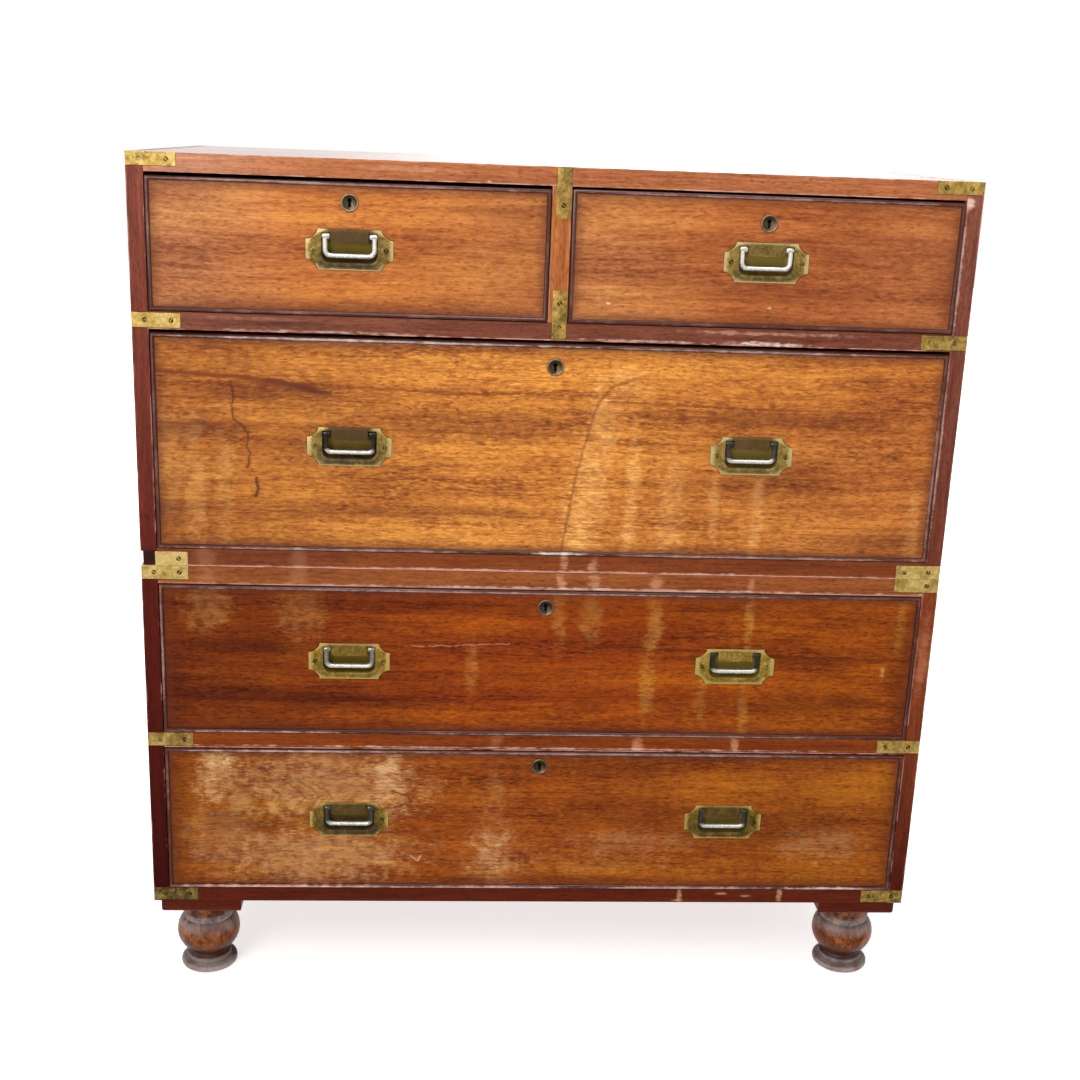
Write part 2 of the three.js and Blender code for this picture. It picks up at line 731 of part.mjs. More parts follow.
function dish(side_wall, wall, front) {
  const reach = cup_half_width + side_wall + overrun;
  const run = { depth: reach * 2, bevelEnabled: false, curveSegments: 4 };
  const bowl = new THREE.ExtrudeGeometry(dish_section(wall, front), run);
  bowl.rotateY(Math.PI / 2);
  bowl.rotateX(Math.PI / 2);
  bowl.translate(-reach, 0, 0);
  const rear = cup_depth + wall + overrun;
  const sides = carry_back(cup_outline(side_wall, wall), front - overrun, rear, { curveSegments: 2 });
  return solid_of(bowl).intersect(sides);
}

// A plate with its cup behind it, and a tongue that hangs between the bail's knuckles
function handle_plate() {
  const plate_back = plate_thickness - plate_proud;
  const sheet = carry_back(plate_outline(0), -plate_proud, plate_back);
  const tongue_half = knuckle_end - knuckle_length - tongue_gap;
  const tongue_zs = [cup_top - tongue_reach, cup_top];
  const tongue = block([-tongue_half, tongue_half], [-plate_proud, plate_back], tongue_zs);
  const reach = cup_half_width + trunnion_length + fit_gap;
  const socket_diameter = trunnion_diameter + fit_gap * 2;
  const sockets = rod_across(-reach, reach, pivot_setback, pivot_height, socket_diameter, pin_sides);
  const cheeks = cut(join(sheet, dish(cup_cheek, cup_wall, 0)), dish(0, 0, -plate_proud - overrun), sockets);
  return join(cheeks, tongue);
}

// The recess in a drawer front that the plate and its cup drop into
function handle_recess() {
  const plate_bed = carry_back(plate_outline(fit_gap), -overrun, plate_thickness - plate_proud + fit_gap);
  const half = cup_half_width + cup_cheek + fit_gap;
  const low = -cup_bottom - cup_wall - fit_gap;
  const high = cup_top + cup_wall + fit_gap;
  return join(plate_bed, block([-half, half], [0, cup_depth + cup_wall + fit_gap], [low, high]));
}

// The U of a bail, drawn this far out from the middle line of its rod
function bail_outline(reach) {
  const half = bail_half_span + reach;
  const floor = pivot_height - bail_drop - reach;
  const bend = bail_bend + reach;
  const edge = new THREE.Path();
  edge.moveTo(half, pivot_height);
  edge.lineTo(half, floor + bend);
  edge.absarc(half - bend, floor + bend, bend, 0, -Math.PI / 2, true);
  edge.lineTo(-half + bend, floor);
  edge.absarc(-half + bend, floor + bend, bend, -Math.PI / 2, -Math.PI, true);
  edge.lineTo(-half, pivot_height);
  return edge.getPoints(bail_bend_steps);
}

// A drop bail: a rod of eight sides, with a knuckle at each end and a pin that turns in the plate's cheeks
function handle_bail() {
  const half = bail_rod / 2;
  const chamfer = bail_rod * octagon_share;
  const bar = new THREE.Shape([...bail_outline(half), ...bail_outline(-half).reverse()]);
  const sides = {
    bevelEnabled: true,
    bevelSegments: 1,
    bevelSize: chamfer,
    bevelOffset: -chamfer,
    bevelThickness: chamfer,
  };
  const rod = carry_back(bar, pivot_setback - half + chamfer, pivot_setback + half - chamfer, sides);
  const ends = [-1, 1].flatMap((sign) => {
    const knuckle = [sign * knuckle_end, sign * (knuckle_end - knuckle_length)];
    const pin = [sign * (cup_half_width + trunnion_length), sign * (knuckle_end - half)];
    return [
      rod_across(...knuckle, pivot_setback, pivot_height, knuckle_diameter, pin_sides),
      rod_across(...pin, pivot_setback, pivot_height, trunnion_diameter, pin_sides),
    ];
  });
  return join(rod, ...ends);
}

// A raised ring round the edge of a front, with a rounded nose
function cock_bead(frame) {
  const shape = outline([
    [frame.x_low, frame.z_low],
    [frame.x_high, frame.z_low],
    [frame.x_high, frame.z_high],
    [frame.x_low, frame.z_high],
  ]);
  const hole = outline([
    [frame.x_low + bead_width, frame.z_low + bead_width],
    [frame.x_low + bead_width, frame.z_high - bead_width],
    [frame.x_high - bead_width, frame.z_high - bead_width],
    [frame.x_high - bead_width, frame.z_low + bead_width],
  ]);
  shape.holes.push(hole);
  const nose = {
    bevelEnabled: true,
    bevelSegments: 2,
    bevelSize: bead_round,
    bevelOffset: -bead_round,
    bevelThickness: bead_round,
  };
  return carry_back(shape, -bead_proud + bead_round, bead_depth, nose);
}

function drawer_box_heights(drawer, frame) {
  const low = drawer.z + fit_gap;
  const floor = low + drawer_bottom_raise;
  return { low, floor, side_top: frame.z_high - drawer_side_drop, back_top: frame.z_high - drawer_back_drop };
}

function drawer_tails(heights) {
  const rise = heights.side_top - heights.low;
  const count = Math.max(2, Math.round(rise / drawer_tail_pitch));
  return { pitch: rise / count, centres: tail_centres(heights.low, heights.side_top, count) };
}

// The outline of a drawer side seen from the right, its tails pointing to the front
function drawer_side_outline(heights) {
  const rear = back_front_y - drawer_rear_gap;
  const shoulder = front_thickness + fit_gap;
  const length = front_thickness - drawer_lap;
  const { pitch, centres } = drawer_tails(heights);
  const edge = [[rear, heights.low], [rear, heights.side_top], [shoulder, heights.side_top]];
  for (const centre of [...centres].reverse()) {
    const tail = tail_points(centre, pitch, length, 0).reverse();
    edge.push(...tail.map(([u, v]) => [shoulder - u, v]));
  }
  edge.push([shoulder, heights.low]);
  return outline(edge);
}

function front_sockets(frame, heights) {
  const { pitch, centres } = drawer_tails(heights);
  const length = front_thickness - drawer_lap;
  return centres.flatMap((centre) => {
    const tail = tail_points(centre, pitch, length, fit_gap);
    const edge = [[-overrun, tail[0][1]], ...tail, [-overrun, tail[3][1]]];
    const shape = outline(edge.map(([u, v]) => [front_thickness - u, v]));
    return [
      carry_across(shape, frame.x_low - overrun, frame.x_low + lining + fit_gap),
      carry_across(shape, frame.x_high - lining - fit_gap, frame.x_high + overrun),
    ];
  });
}

function keyhole(x, z) {
  const front = -nozzle_proud - overrun;
  const radius = keyhole_diameter / 2;
  const round = new THREE.CylinderGeometry(radius, radius, keyhole_depth - front, keyhole_sides);
  round.translate(x, (keyhole_depth + front) / 2, z);
  const xs = [x - keyhole_slot / 2, x + keyhole_slot / 2];
  return join(solid_of(round), block(xs, [front, keyhole_depth], [z - keyhole_drop, z]));
}

function lock_nozzle(x, z) {
  const radius = nozzle_diameter / 2;
  const profile = [
    [0, -overrun],
    [radius, -overrun],
    [radius, nozzle_proud - nozzle_round],
    [radius - nozzle_round, nozzle_proud],
    [0, nozzle_proud],
  ];
  const ring = new THREE.LatheGeometry(profile.map(([r, y]) => new THREE.Vector2(r, y)), turning_sides);
  ring.rotateX(Math.PI);
  ring.translate(x, 0, z);
  return solid_of(ring);
}

const plate_solid = handle_plate();
const recess_solid = handle_recess();
const bail_solid = handle_bail();

for (const drawer of drawers) {
  const frame = drawer_frame(drawer);
  const heights = drawer_box_heights(drawer, frame);
  const handle_z = (frame.z_low + frame.z_high) / 2;
  const nozzle_z = frame.z_high - drawer.nozzle_drop;
  const lock_xs = [frame.x_mid - lock_width / 2, frame.x_mid + lock_width / 2];
  const bolt_xs = [frame.x_mid - bolt_width / 2, frame.x_mid + bolt_width / 2];
  const bolt_ys = [bolt_setback, bolt_setback + bolt_thickness];
  const bolt_zs = [frame.z_high - fit_gap - bolt_height, frame.z_high - fit_gap];
  const groove_ys = [front_thickness - drawer_groove, front_thickness + overrun];
  const groove_zs = [heights.floor - fit_gap, heights.floor + drawer_bottom + fit_gap];
  const lock_ys = [front_thickness - overrun, front_thickness + lock_proud];
  const front = cut(
    join(
      block([frame.x_low, frame.x_high], [0, front_thickness], [frame.z_low, frame.z_high]),
      cock_bead(frame),
      block(lock_xs, lock_ys, [frame.z_high - lock_height, frame.z_high]),
      lock_nozzle(frame.x_mid, nozzle_z),
    ),
    ...front_sockets(frame, heights),
    block([frame.x_low + lining, frame.x_high - lining], groove_ys, groove_zs),
    block([bolt_xs[0] - fit_gap, bolt_xs[1] + fit_gap], [bolt_ys[0] - fit_gap, bolt_ys[1] + fit_gap],
      [bolt_zs[0] - fit_gap, frame.z_high + overrun]),
    keyhole(frame.x_mid, nozzle_z + keyhole_drop / 3),
    ...Object.values(drawer.handles).map((x) => recess_solid.translate([x, 0, handle_z])),
  );
  add_piece(`${drawer.name}_front`, front, figured_mahogany);

  const rear = back_front_y - drawer_rear_gap;
  const side_shape = drawer_side_outline(heights);
  const inside = [frame.x_low + lining / 2, frame.x_high - lining / 2];
  const bottom_zs = [heights.floor, heights.floor + drawer_bottom];
  const lip_xs = [frame.x_low + lining + fit_gap, frame.x_high - lining - fit_gap];
  const box = join(
    carry_across(side_shape, frame.x_low, frame.x_low + lining),
    carry_across(side_shape, frame.x_high - lining, frame.x_high),
    block(inside, [rear - lining, rear - fit_gap], [heights.floor, heights.back_top]),
    block(inside, [front_thickness + fit_gap, rear - fit_gap], bottom_zs),
    block(lip_xs, [front_thickness - drawer_groove + fit_gap, front_thickness + lining], bottom_zs),
  );
  add_piece(`${drawer.name}_box`, box, oak_lining);
  add_piece(`${drawer.name}_bolt`, block(bolt_xs, bolt_ys, bolt_zs), lock_steel);

  for (const [place, x] of Object.entries(drawer.handles)) {
    const name = place === "only" ? drawer.name : `${drawer.name}_${place}`;
    add_piece(`${name}_plate`, plate_solid.translate([x, 0, handle_z]), brass);
    add_piece(`${name}_bail`, bail_solid.translate([x, 0, handle_z]), bright_metal);
  }
}

// The origin is on the floor under the middle of the whole chest, bead included
chest.position.y = -(carcase_depth - bead_proud) / 2;

export default chest;
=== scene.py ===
import math

import bmesh
import bpy
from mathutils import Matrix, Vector


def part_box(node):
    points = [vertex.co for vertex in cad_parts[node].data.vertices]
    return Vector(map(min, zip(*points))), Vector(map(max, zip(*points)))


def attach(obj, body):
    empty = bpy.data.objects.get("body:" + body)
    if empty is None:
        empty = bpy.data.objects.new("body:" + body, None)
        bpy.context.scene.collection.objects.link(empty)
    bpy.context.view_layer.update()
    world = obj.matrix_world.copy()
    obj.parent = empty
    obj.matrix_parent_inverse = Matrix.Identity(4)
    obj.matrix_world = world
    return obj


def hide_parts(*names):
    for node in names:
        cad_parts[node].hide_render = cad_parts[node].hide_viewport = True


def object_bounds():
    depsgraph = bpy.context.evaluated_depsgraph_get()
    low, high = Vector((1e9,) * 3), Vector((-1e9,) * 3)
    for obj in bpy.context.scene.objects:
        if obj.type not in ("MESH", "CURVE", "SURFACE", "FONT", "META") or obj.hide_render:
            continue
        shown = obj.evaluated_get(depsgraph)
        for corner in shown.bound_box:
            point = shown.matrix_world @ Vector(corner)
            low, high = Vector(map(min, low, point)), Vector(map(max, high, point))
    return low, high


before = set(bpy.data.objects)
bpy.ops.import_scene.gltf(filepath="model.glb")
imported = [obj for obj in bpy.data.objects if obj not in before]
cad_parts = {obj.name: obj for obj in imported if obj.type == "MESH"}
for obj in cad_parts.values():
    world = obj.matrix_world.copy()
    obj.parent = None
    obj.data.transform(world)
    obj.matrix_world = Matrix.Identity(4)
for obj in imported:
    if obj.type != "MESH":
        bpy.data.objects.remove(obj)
cad_box = [list(corner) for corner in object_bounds()]
mm = 0.001

# Camera, floor and light
# The camera stands a little left of the middle and looks slightly down on the front,
# in soft daylight that comes mostly from above and from the left.


def stand(name, data):
    """A new object in the scene, at the origin"""
    thing = bpy.data.objects.new(name, data)
    bpy.context.scene.collection.objects.link(thing)
    return thing


camera_data = bpy.data.cameras.new("camera")
camera_data.sensor_width = 36
camera_data.lens = 48.04
camera = stand("camera", camera_data)
camera.location = (-0.1157, -1.7971, 1.0184)
camera.rotation_euler = [math.radians(angle) for angle in (74.192, -2.118, -3.2622)]
bpy.context.scene.camera = camera
bpy.context.scene.view_settings.view_transform = "Standard"


def linear(code):
    """The linear colour of an sRGB hex value"""
    channels = [int(code[place:place + 2], 16) / 255 for place in (1, 3, 5)]
    return [value / 12.92 if value <= 0.04045 else ((value + 0.055) / 1.055) ** 2.4
            for value in channels] + [1]


def add(tree, kind, inputs=(), output=0, stops=(), **settings):
    """One node with its settings, and its inputs by name or in their order: gives back one output.
    The kind of a shader node is given without ShaderNode before it."""
    named_in_full = kind.startswith(("GeometryNode", "FunctionNode", "NodeGroup"))
    piece = tree.nodes.new(kind if named_in_full else f"ShaderNode{kind}")
    for name, value in settings.items():
        setattr(piece, name, value)
    for place, value in inputs.items() if isinstance(inputs, dict) else enumerate(inputs):
        if isinstance(value, bpy.types.NodeSocket):
            tree.links.new(value, piece.inputs[place])
        else:
            piece.inputs[place].default_value = value
    for index, (position, colour) in enumerate(stops):
        elements = piece.color_ramp.elements
        stop = elements[index] if index < 2 else elements.new(position)
        stop.position = position
        stop.color = colour
    return piece.outputs[output] if piece.outputs else None


def new_finish(what, piece=""):
    """An empty finish: gives back the material, its node tree and the piece's own coordinates"""
    finish = bpy.data.materials.new(f"{what}, {piece.replace('_', ' ')}" if piece else what)
    finish.use_nodes = True
    finish.node_tree.nodes.clear()
    return finish, finish.node_tree, add(finish.node_tree, "TexCoord", output="Object")


def cover(tree, colour, **values):
    """Ends a finish in its shader: colour and the named values are sockets or plain values"""
    inputs = {"Base Color": colour}
    inputs.update({key.replace("_", " "): value for key, value in values.items()})
    add(tree, "OutputMaterial", [add(tree, "BsdfPrincipled", inputs)])


def lay(tree, colour, *films):
    """Lays tints over a colour one after another, each as far as its share says"""
    for share, tint in films:
        tint = linear(tint) if isinstance(tint, str) else tint
        colour = add(tree, "Mix", {0: share, 6: colour, 7: tint}, output=2, data_type="RGBA")
    return colour


def greys(*levels):
    """Stops of a ramp from pairs of a position and a brightness"""
    return [(position, (level, level, level, 1)) for position, level in levels]


def stage_board(name, finish, left, near, right, far, level=0.0):
    mesh = bpy.data.meshes.new(name)
    corners = [(left, near, level), (right, near, level), (right, far, level), (left, far, level)]
    mesh.from_pydata(corners, [], [(0, 1, 2, 3)])
    mesh.materials.append(finish)
    return stand(name, mesh)


floor_reach = 9
# The floor glows as well as taking light: brightest far off, and a little brighter under the chest than
# around it, so it reads white with only a pale shadow under the chest
glowing_floor, floor_tree, floor_lie = new_finish("matt white floor paint")
floor_noise = add(floor_tree, "TexNoise", {"Scale": 1.5, "Detail": 2.0})
floor_colour = lay(floor_tree, linear("#f6f5f3"), (floor_noise, "#fbfaf8"))
floor_away = add(floor_tree, "VectorMath", [floor_lie], output="Value", operation="LENGTH")
floor_share = add(floor_tree, "MapRange", [floor_away, 0.0, 2.6])
glow_levels = greys((0, 0.66), (1, 1), (0.17, 0.62), (0.34, 0.44))
floor_glow = add(floor_tree, "ValToRGB", [floor_share], stops=glow_levels)
cover(floor_tree, floor_colour, Roughness=0.9, Emission_Color=linear("#ffffff"), Emission_Strength=floor_glow)
floor = stage_board("floor", glowing_floor, -floor_reach, -floor_reach, floor_reach, floor_reach)

# A black flag that only reflections see keeps the pale floor's glare off the polish
flag_cloth, flag_tree = new_finish("black flag cloth")[:2]
cover(flag_tree, linear("#141414"), Roughness=1.0)
flag = stage_board("flag", flag_cloth, -4, -6, 4, -0.25, 4 * mm)
for kind_of_ray in ("camera", "diffuse", "shadow", "transmission"):
    setattr(flag, f"visible_{kind_of_ray}", False)

# A white backdrop that lights the room less than it shows, and least from the front
studio = bpy.data.worlds.new("studio")
studio.use_nodes = True
backdrop_tree = studio.node_tree
backdrop_tree.nodes.clear()
seen = add(backdrop_tree, "LightPath", output="Is Camera Ray")
rearward = add(backdrop_tree, "SeparateXYZ", [add(backdrop_tree, "TexCoord", output="Generated")], output=1)
room = add(backdrop_tree, "MapRange", [rearward, -0.1, 0.5, 0.38, 1.0])
strength = add(backdrop_tree, "Math", [seen, room], operation="MAXIMUM")
backdrop = add(backdrop_tree, "Background", {"Color": (1, 1, 1, 1), "Strength": strength})
add(backdrop_tree, "OutputWorld", [backdrop])
bpy.context.scene.world = studio

for lamp_name, lamp_place, lamp_aim, lamp_size, lamp_power in (
    ("window", (-1.5, -2.6, 2.7), (0, 0, 0.6), 1.6, 49),
    ("skylight", (0.3, -0.9, 3.0), (0, 0.1, 0.5), 1.4, 26),
    ("doorway", (-1.6, -4.2, 1.5), (0, 0, 0.7), 2.0, 26),
    ("far wall", (0.6, 3.2, 2.2), (0, 0, 0.4), 2.4, 50),
):
    lamp_data = bpy.data.lights.new(lamp_name, "AREA")
    lamp_data.shape = "DISK"
    lamp_data.size = lamp_size
    lamp_data.energy = lamp_power
    lamp = stand(lamp_name, lamp_data)
    lamp.location = lamp_place
    lamp.rotation_euler = (Vector(lamp_aim) - Vector(lamp_place)).to_track_quat("-Z", "Y").to_euler()

# Carcase boards
# Solid mahogany boards, dovetailed at the corners, with a drawer rail housed between the sides of each half.
# The old red polish is dark on the sides, and the arrises are rubbed through to pale, pinkish wood.


def fibres(tree, place, along, long, across, detail=1.0, rough=0.5, shift=(0, 0, 0)):
    """Noise of streaks that are this many millimetres along the grain and across it"""
    sizes = [across, across, across]
    sizes["XYZ".index(along)] = long
    scale = [1000 / size for size in sizes]
    board = add(tree, "Mapping", {"Vector": place, "Location": shift, "Scale": scale})
    return add(tree, "TexNoise", {"Vector": board, "Scale": 1.0, "Detail": detail, "Roughness": rough})


def deepen(colour, factors):
    return [value * factor for value, factor in zip(colour, factors)] + [1]


def bend(tree, place, reach, size):
    """Lets straight grain wander by about this much, in metres"""
    drift = add(tree, "TexNoise", {"Vector": place, "Scale": 1 / size, "Detail": 1.0}, output="Color")
    return add(tree, "VectorMath", [drift, [reach, reach, reach], place], operation="MULTIPLY_ADD")


def mahogany(tree, place, along, shift, tone, band=0.6, streak=0.9, fleck=0.9, figure=0.0, glint=0.0):
    """Grain from broad bands and figure down to pores: gives back the wood's colour and its height"""
    grain = bend(tree, place, 16 * mm, 240 * mm)
    fibre = 0.8
    value = 0.5 - (band + streak + fleck + fibre + figure) / 2
    for long, across, detail, share in (
        (620, 46, 2, band), (170, 9, 4, streak), (9, 2.4, 1, fleck), (60, 2.6, 3, fibre), (70, 26, 1, figure),
    ):
        if share:
            layer = fibres(tree, grain, along, long, across, detail, 0.6, shift)
            value = add(tree, "Math", [layer, share, value], operation="MULTIPLY_ADD")
    middle = linear(tone)
    colour = add(tree, "ValToRGB", [value], stops=(
        (0.1, deepen(middle, (0.42, 0.28, 0.24))), (0.95, deepen(middle, (1.5, 1.75, 1.9))),
        (0.34, deepen(middle, (0.78, 0.68, 0.62))), (0.55, middle)))
    # Pores, dark lines and bright rays: sizes, detail, roughness, start, end, strength and depth of tone
    shares = []
    for own_shift, long, across, detail, rough, start, end, most, factors in (
        (shift, 7, 1.6, 1, 0.5, 0.57, 0.7, 0.3 + 0.32 * fleck, (0.3, 0.19, 0.17)),
        (shift[::-1], 130, 3.4, 3, 0.65, 0.54, 0.7, streak * 0.5, (0.42, 0.27, 0.22)),
        (shift[::-1], 9, 1.9, 1, 0.5, 0.55, 0.72, glint, (1.5, 1.75, 2.1)),
    ):
        if most:
            noise = fibres(tree, grain, along, long, across, detail, rough, own_shift)
            share = add(tree, "MapRange", [noise, start, end, 0.0, most], interpolation_type="SMOOTHSTEP")
            colour = lay(tree, colour, (share, deepen(middle, factors)))
            shares.append(share)
    return colour, add(tree, "Math", [value, shares[0]], operation="SUBTRACT")


def retone(tree, colour, share, tone, tone_to, film=0.0):
    """Carries the wood to another tone as far as share says: its grain stays but for what a film hides"""
    least = 0.01
    ratio = [after / max(before, least) for after, before in zip(linear(tone_to), linear(tone))]
    carried = add(tree, "Mix", {0: 1.0, 6: colour, 7: ratio}, output=2, data_type="RGBA",
                  blend_type="MULTIPLY", clamp_result=False)
    if film:
        carried = lay(tree, carried, (film, tone_to))
    return lay(tree, colour, (share, carried))


def fade(tree, colour, position, start, end, tone, fade_to):
    """Lets the wood's tone pass to another one between two positions"""
    return retone(tree, colour, add(tree, "MapRange", [position, start, end]), tone, fade_to)


def torn_grain(tree, place, long=9, across=2.4):
    """What breaks a mark up: short streaks along the grain, with blotches among them"""
    streaks = fibres(tree, place, "X", long, across, 2.0, 0.7)
    blotches = add(tree, "TexNoise",
                   {"Vector": place, "Scale": 1 / (14 * mm), "Detail": 2.0, "Roughness": 0.6})
    both = add(tree, "Math", [streaks, blotches], operation="ADD")
    return add(tree, "Math", [both, -1.0], operation="ADD")


def patch(tree, place, torn, strength, x, z, reach_x, reach_z, ragged=0.6, reach_y=150):
    """A soft mark on the front, mottled by the grain: its middle and half sizes are in millimetres"""
    centred = add(tree, "VectorMath", [place, [x * mm, cad_box[0][1], z * mm]], operation="SUBTRACT")
    half_sizes = [reach_x * mm, reach_y * mm, reach_z * mm]
    scaled = add(tree, "VectorMath", [centred, half_sizes], operation="DIVIDE")
    reach = add(tree, "VectorMath", [scaled], output="Value", operation="LENGTH")
    broken = add(tree, "Math", [torn, -1.6 * ragged, reach], operation="MULTIPLY_ADD")
    body = add(tree, "MapRange", [broken, 0.25, 1.1, strength, 0.0], interpolation_type="SMOOTHSTEP")
    mottle = add(tree, "MapRange", [torn, -0.3, 0.22, 1 - ragged, 1.0])
    return add(tree, "Math", [body, mottle], operation="MULTIPLY")


def marked(tree, colour, place, marks, foot=0.0):
    """Lays marks over a colour: each has a tint, a strength, x, height above the foot and half sizes"""
    torn = torn_grain(tree, place)
    for tint, strength, (x, z, *sizes) in marks:
        colour = lay(tree, colour, (patch(tree, place, torn, strength, x, foot + z, *sizes), tint))
    return colour


def inside(tree, place, low, high):
    """How far a point lies inside the nearer side of a box, along each axis"""
    from_low = add(tree, "VectorMath", [place, low], operation="SUBTRACT")
    from_high = add(tree, "VectorMath", [high, place], operation="SUBTRACT")
    nearest = add(tree, "VectorMath", [from_low, from_high], operation="MINIMUM")
    return add(tree, "SeparateXYZ", [nearest]).node.outputs


def arris_wear(tree, place, low, high, reach=1.6 * mm, spread=0.5):
    """How far the arrises of a board between two corners are rubbed through, from 0 to 1"""
    near = inside(tree, place, low, high)
    least = add(tree, "Math", [near[0], near[1]], operation="MINIMUM")
    most = add(tree, "Math", [near[0], near[1]], operation="MAXIMUM")
    capped = add(tree, "Math", [most, near[2]], operation="MINIMUM")
    to_arris = add(tree, "Math", [least, capped], operation="MAXIMUM")
    edge = add(tree, "MapRange", [to_arris, 0.3 * mm, reach, 1.0, 0.0])
    rubs = add(tree, "TexNoise", {"Vector": place, "Scale": 1 / (45 * mm), "Detail": 3.0, "Roughness": 0.7})
    rubbed = add(tree, "MapRange", [rubs, 0.68 - spread * 0.4, 0.74 - spread * 0.3])
    return add(tree, "Math", [edge, rubbed], operation="MULTIPLY")


def polish(tree, colour, height, worn, gloss=0.36, sheen=0.2, relief=0.22):
    """Old French polish: a thin, soft gloss that goes dull where it is worn or sunk into the grain"""
    dull = add(tree, "Math", [height, -0.12, gloss + 0.1], operation="MULTIPLY_ADD")
    rough = add(tree, "Math", [worn, 0.3, dull], operation="MULTIPLY_ADD")
    bumps = add(tree, "Bump", {"Strength": relief, "Distance": 0.15 * mm, "Height": height})
    eased = add(tree, "Bevel", {"Radius": 0.8 * mm, "Normal": bumps}, samples=4)
    cover(tree, colour, Roughness=rough, Normal=eased, IOR=1.5, Specular_IOR_Level=sheen)


def board_finish(node, along, tone, shift, spread, fade_to):
    """Polished mahogany for one board: fade_to is the tone that the foot of an upright board darkens to"""
    finish, tree, place = new_finish("French-polished mahogany", node)
    low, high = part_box(node)
    colour, height = mahogany(tree, place, along, shift, tone, streak=0.7, fleck=0.5)
    if fade_to:
        lie = add(tree, "SeparateXYZ", [place]).node.outputs
        behind = "#6b2d1c" if node.startswith("upper") else "#5a2213"
        colour = fade(tree, colour, lie[2], high.z, low.z, tone, fade_to)
        colour = fade(tree, colour, lie[1], low.y + 3 * mm, low.y + 70 * mm, tone, behind)
    if node in board_marks:
        colour = marked(tree, colour, place, board_marks[node])
    worn = arris_wear(tree, place, low, high, spread=spread)
    if along == "Z":
        worn = add(tree, "Math", [worn, 0.55], operation="MULTIPLY")
    colour = lay(tree, colour, (worn, "#c99482"))
    if node == "top_board":
        polish(tree, colour, height, worn, gloss=0.1, sheen=0.5, relief=0.04)
    else:
        polish(tree, colour, height, worn, sheen=0.12 if node.startswith("lower") else 0.2)
    return finish


def dress(node, finish, bevel=0.0):
    """Gives a CAD node its finish, and softens its arrises where the real ones are filed"""
    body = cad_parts[node]
    for slot in body.material_slots:
        slot.material = finish
    if bevel:
        weld = body.modifiers.new("weld", "WELD")
        weld.merge_threshold = 0.002 * mm
        flat = body.modifiers.new("flat", "DECIMATE")
        flat.decimate_type = "DISSOLVE"
        flat.angle_limit = math.radians(0.5)
        ease = body.modifiers.new("ease", "BEVEL")
        ease.width = bevel
        ease.segments = 2
        ease.limit_method = "ANGLE"
        ease.angle_limit = math.radians(50)
        ease.harden_normals = True


# Each board: its grain, its tone, how far its arrises are rubbed, and the tone that its foot darkens to
carcase_boards = (
    ("upper_left_side", "Z", "#763824", 0.5, "#5d1404"),
    ("upper_right_side", "Z", "#7d4737", 0.6, "#652c17"),
    ("lower_left_side", "Z", "#4e1102", 0.35, "#3b0402"),
    ("lower_right_side", "Z", "#843e16", 0.6, "#460c02"),
    ("top_board", "X", "#a05e36", 0.55, None),
    ("upper_drawer_rail", "X", "#723c28", 0.55, None),
    ("partition", "Z", "#9f5a2a", 0.6, None),
    ("upper_bottom_board", "X", "#77360a", 0.8, None),
    ("lower_top_board", "X", "#8b4c21", 0.8, None),
    ("lower_drawer_rail", "X", "#7b3502", 0.7, None),
    ("lower_bottom_board", "X", "#561a04", 0.45, None),
)
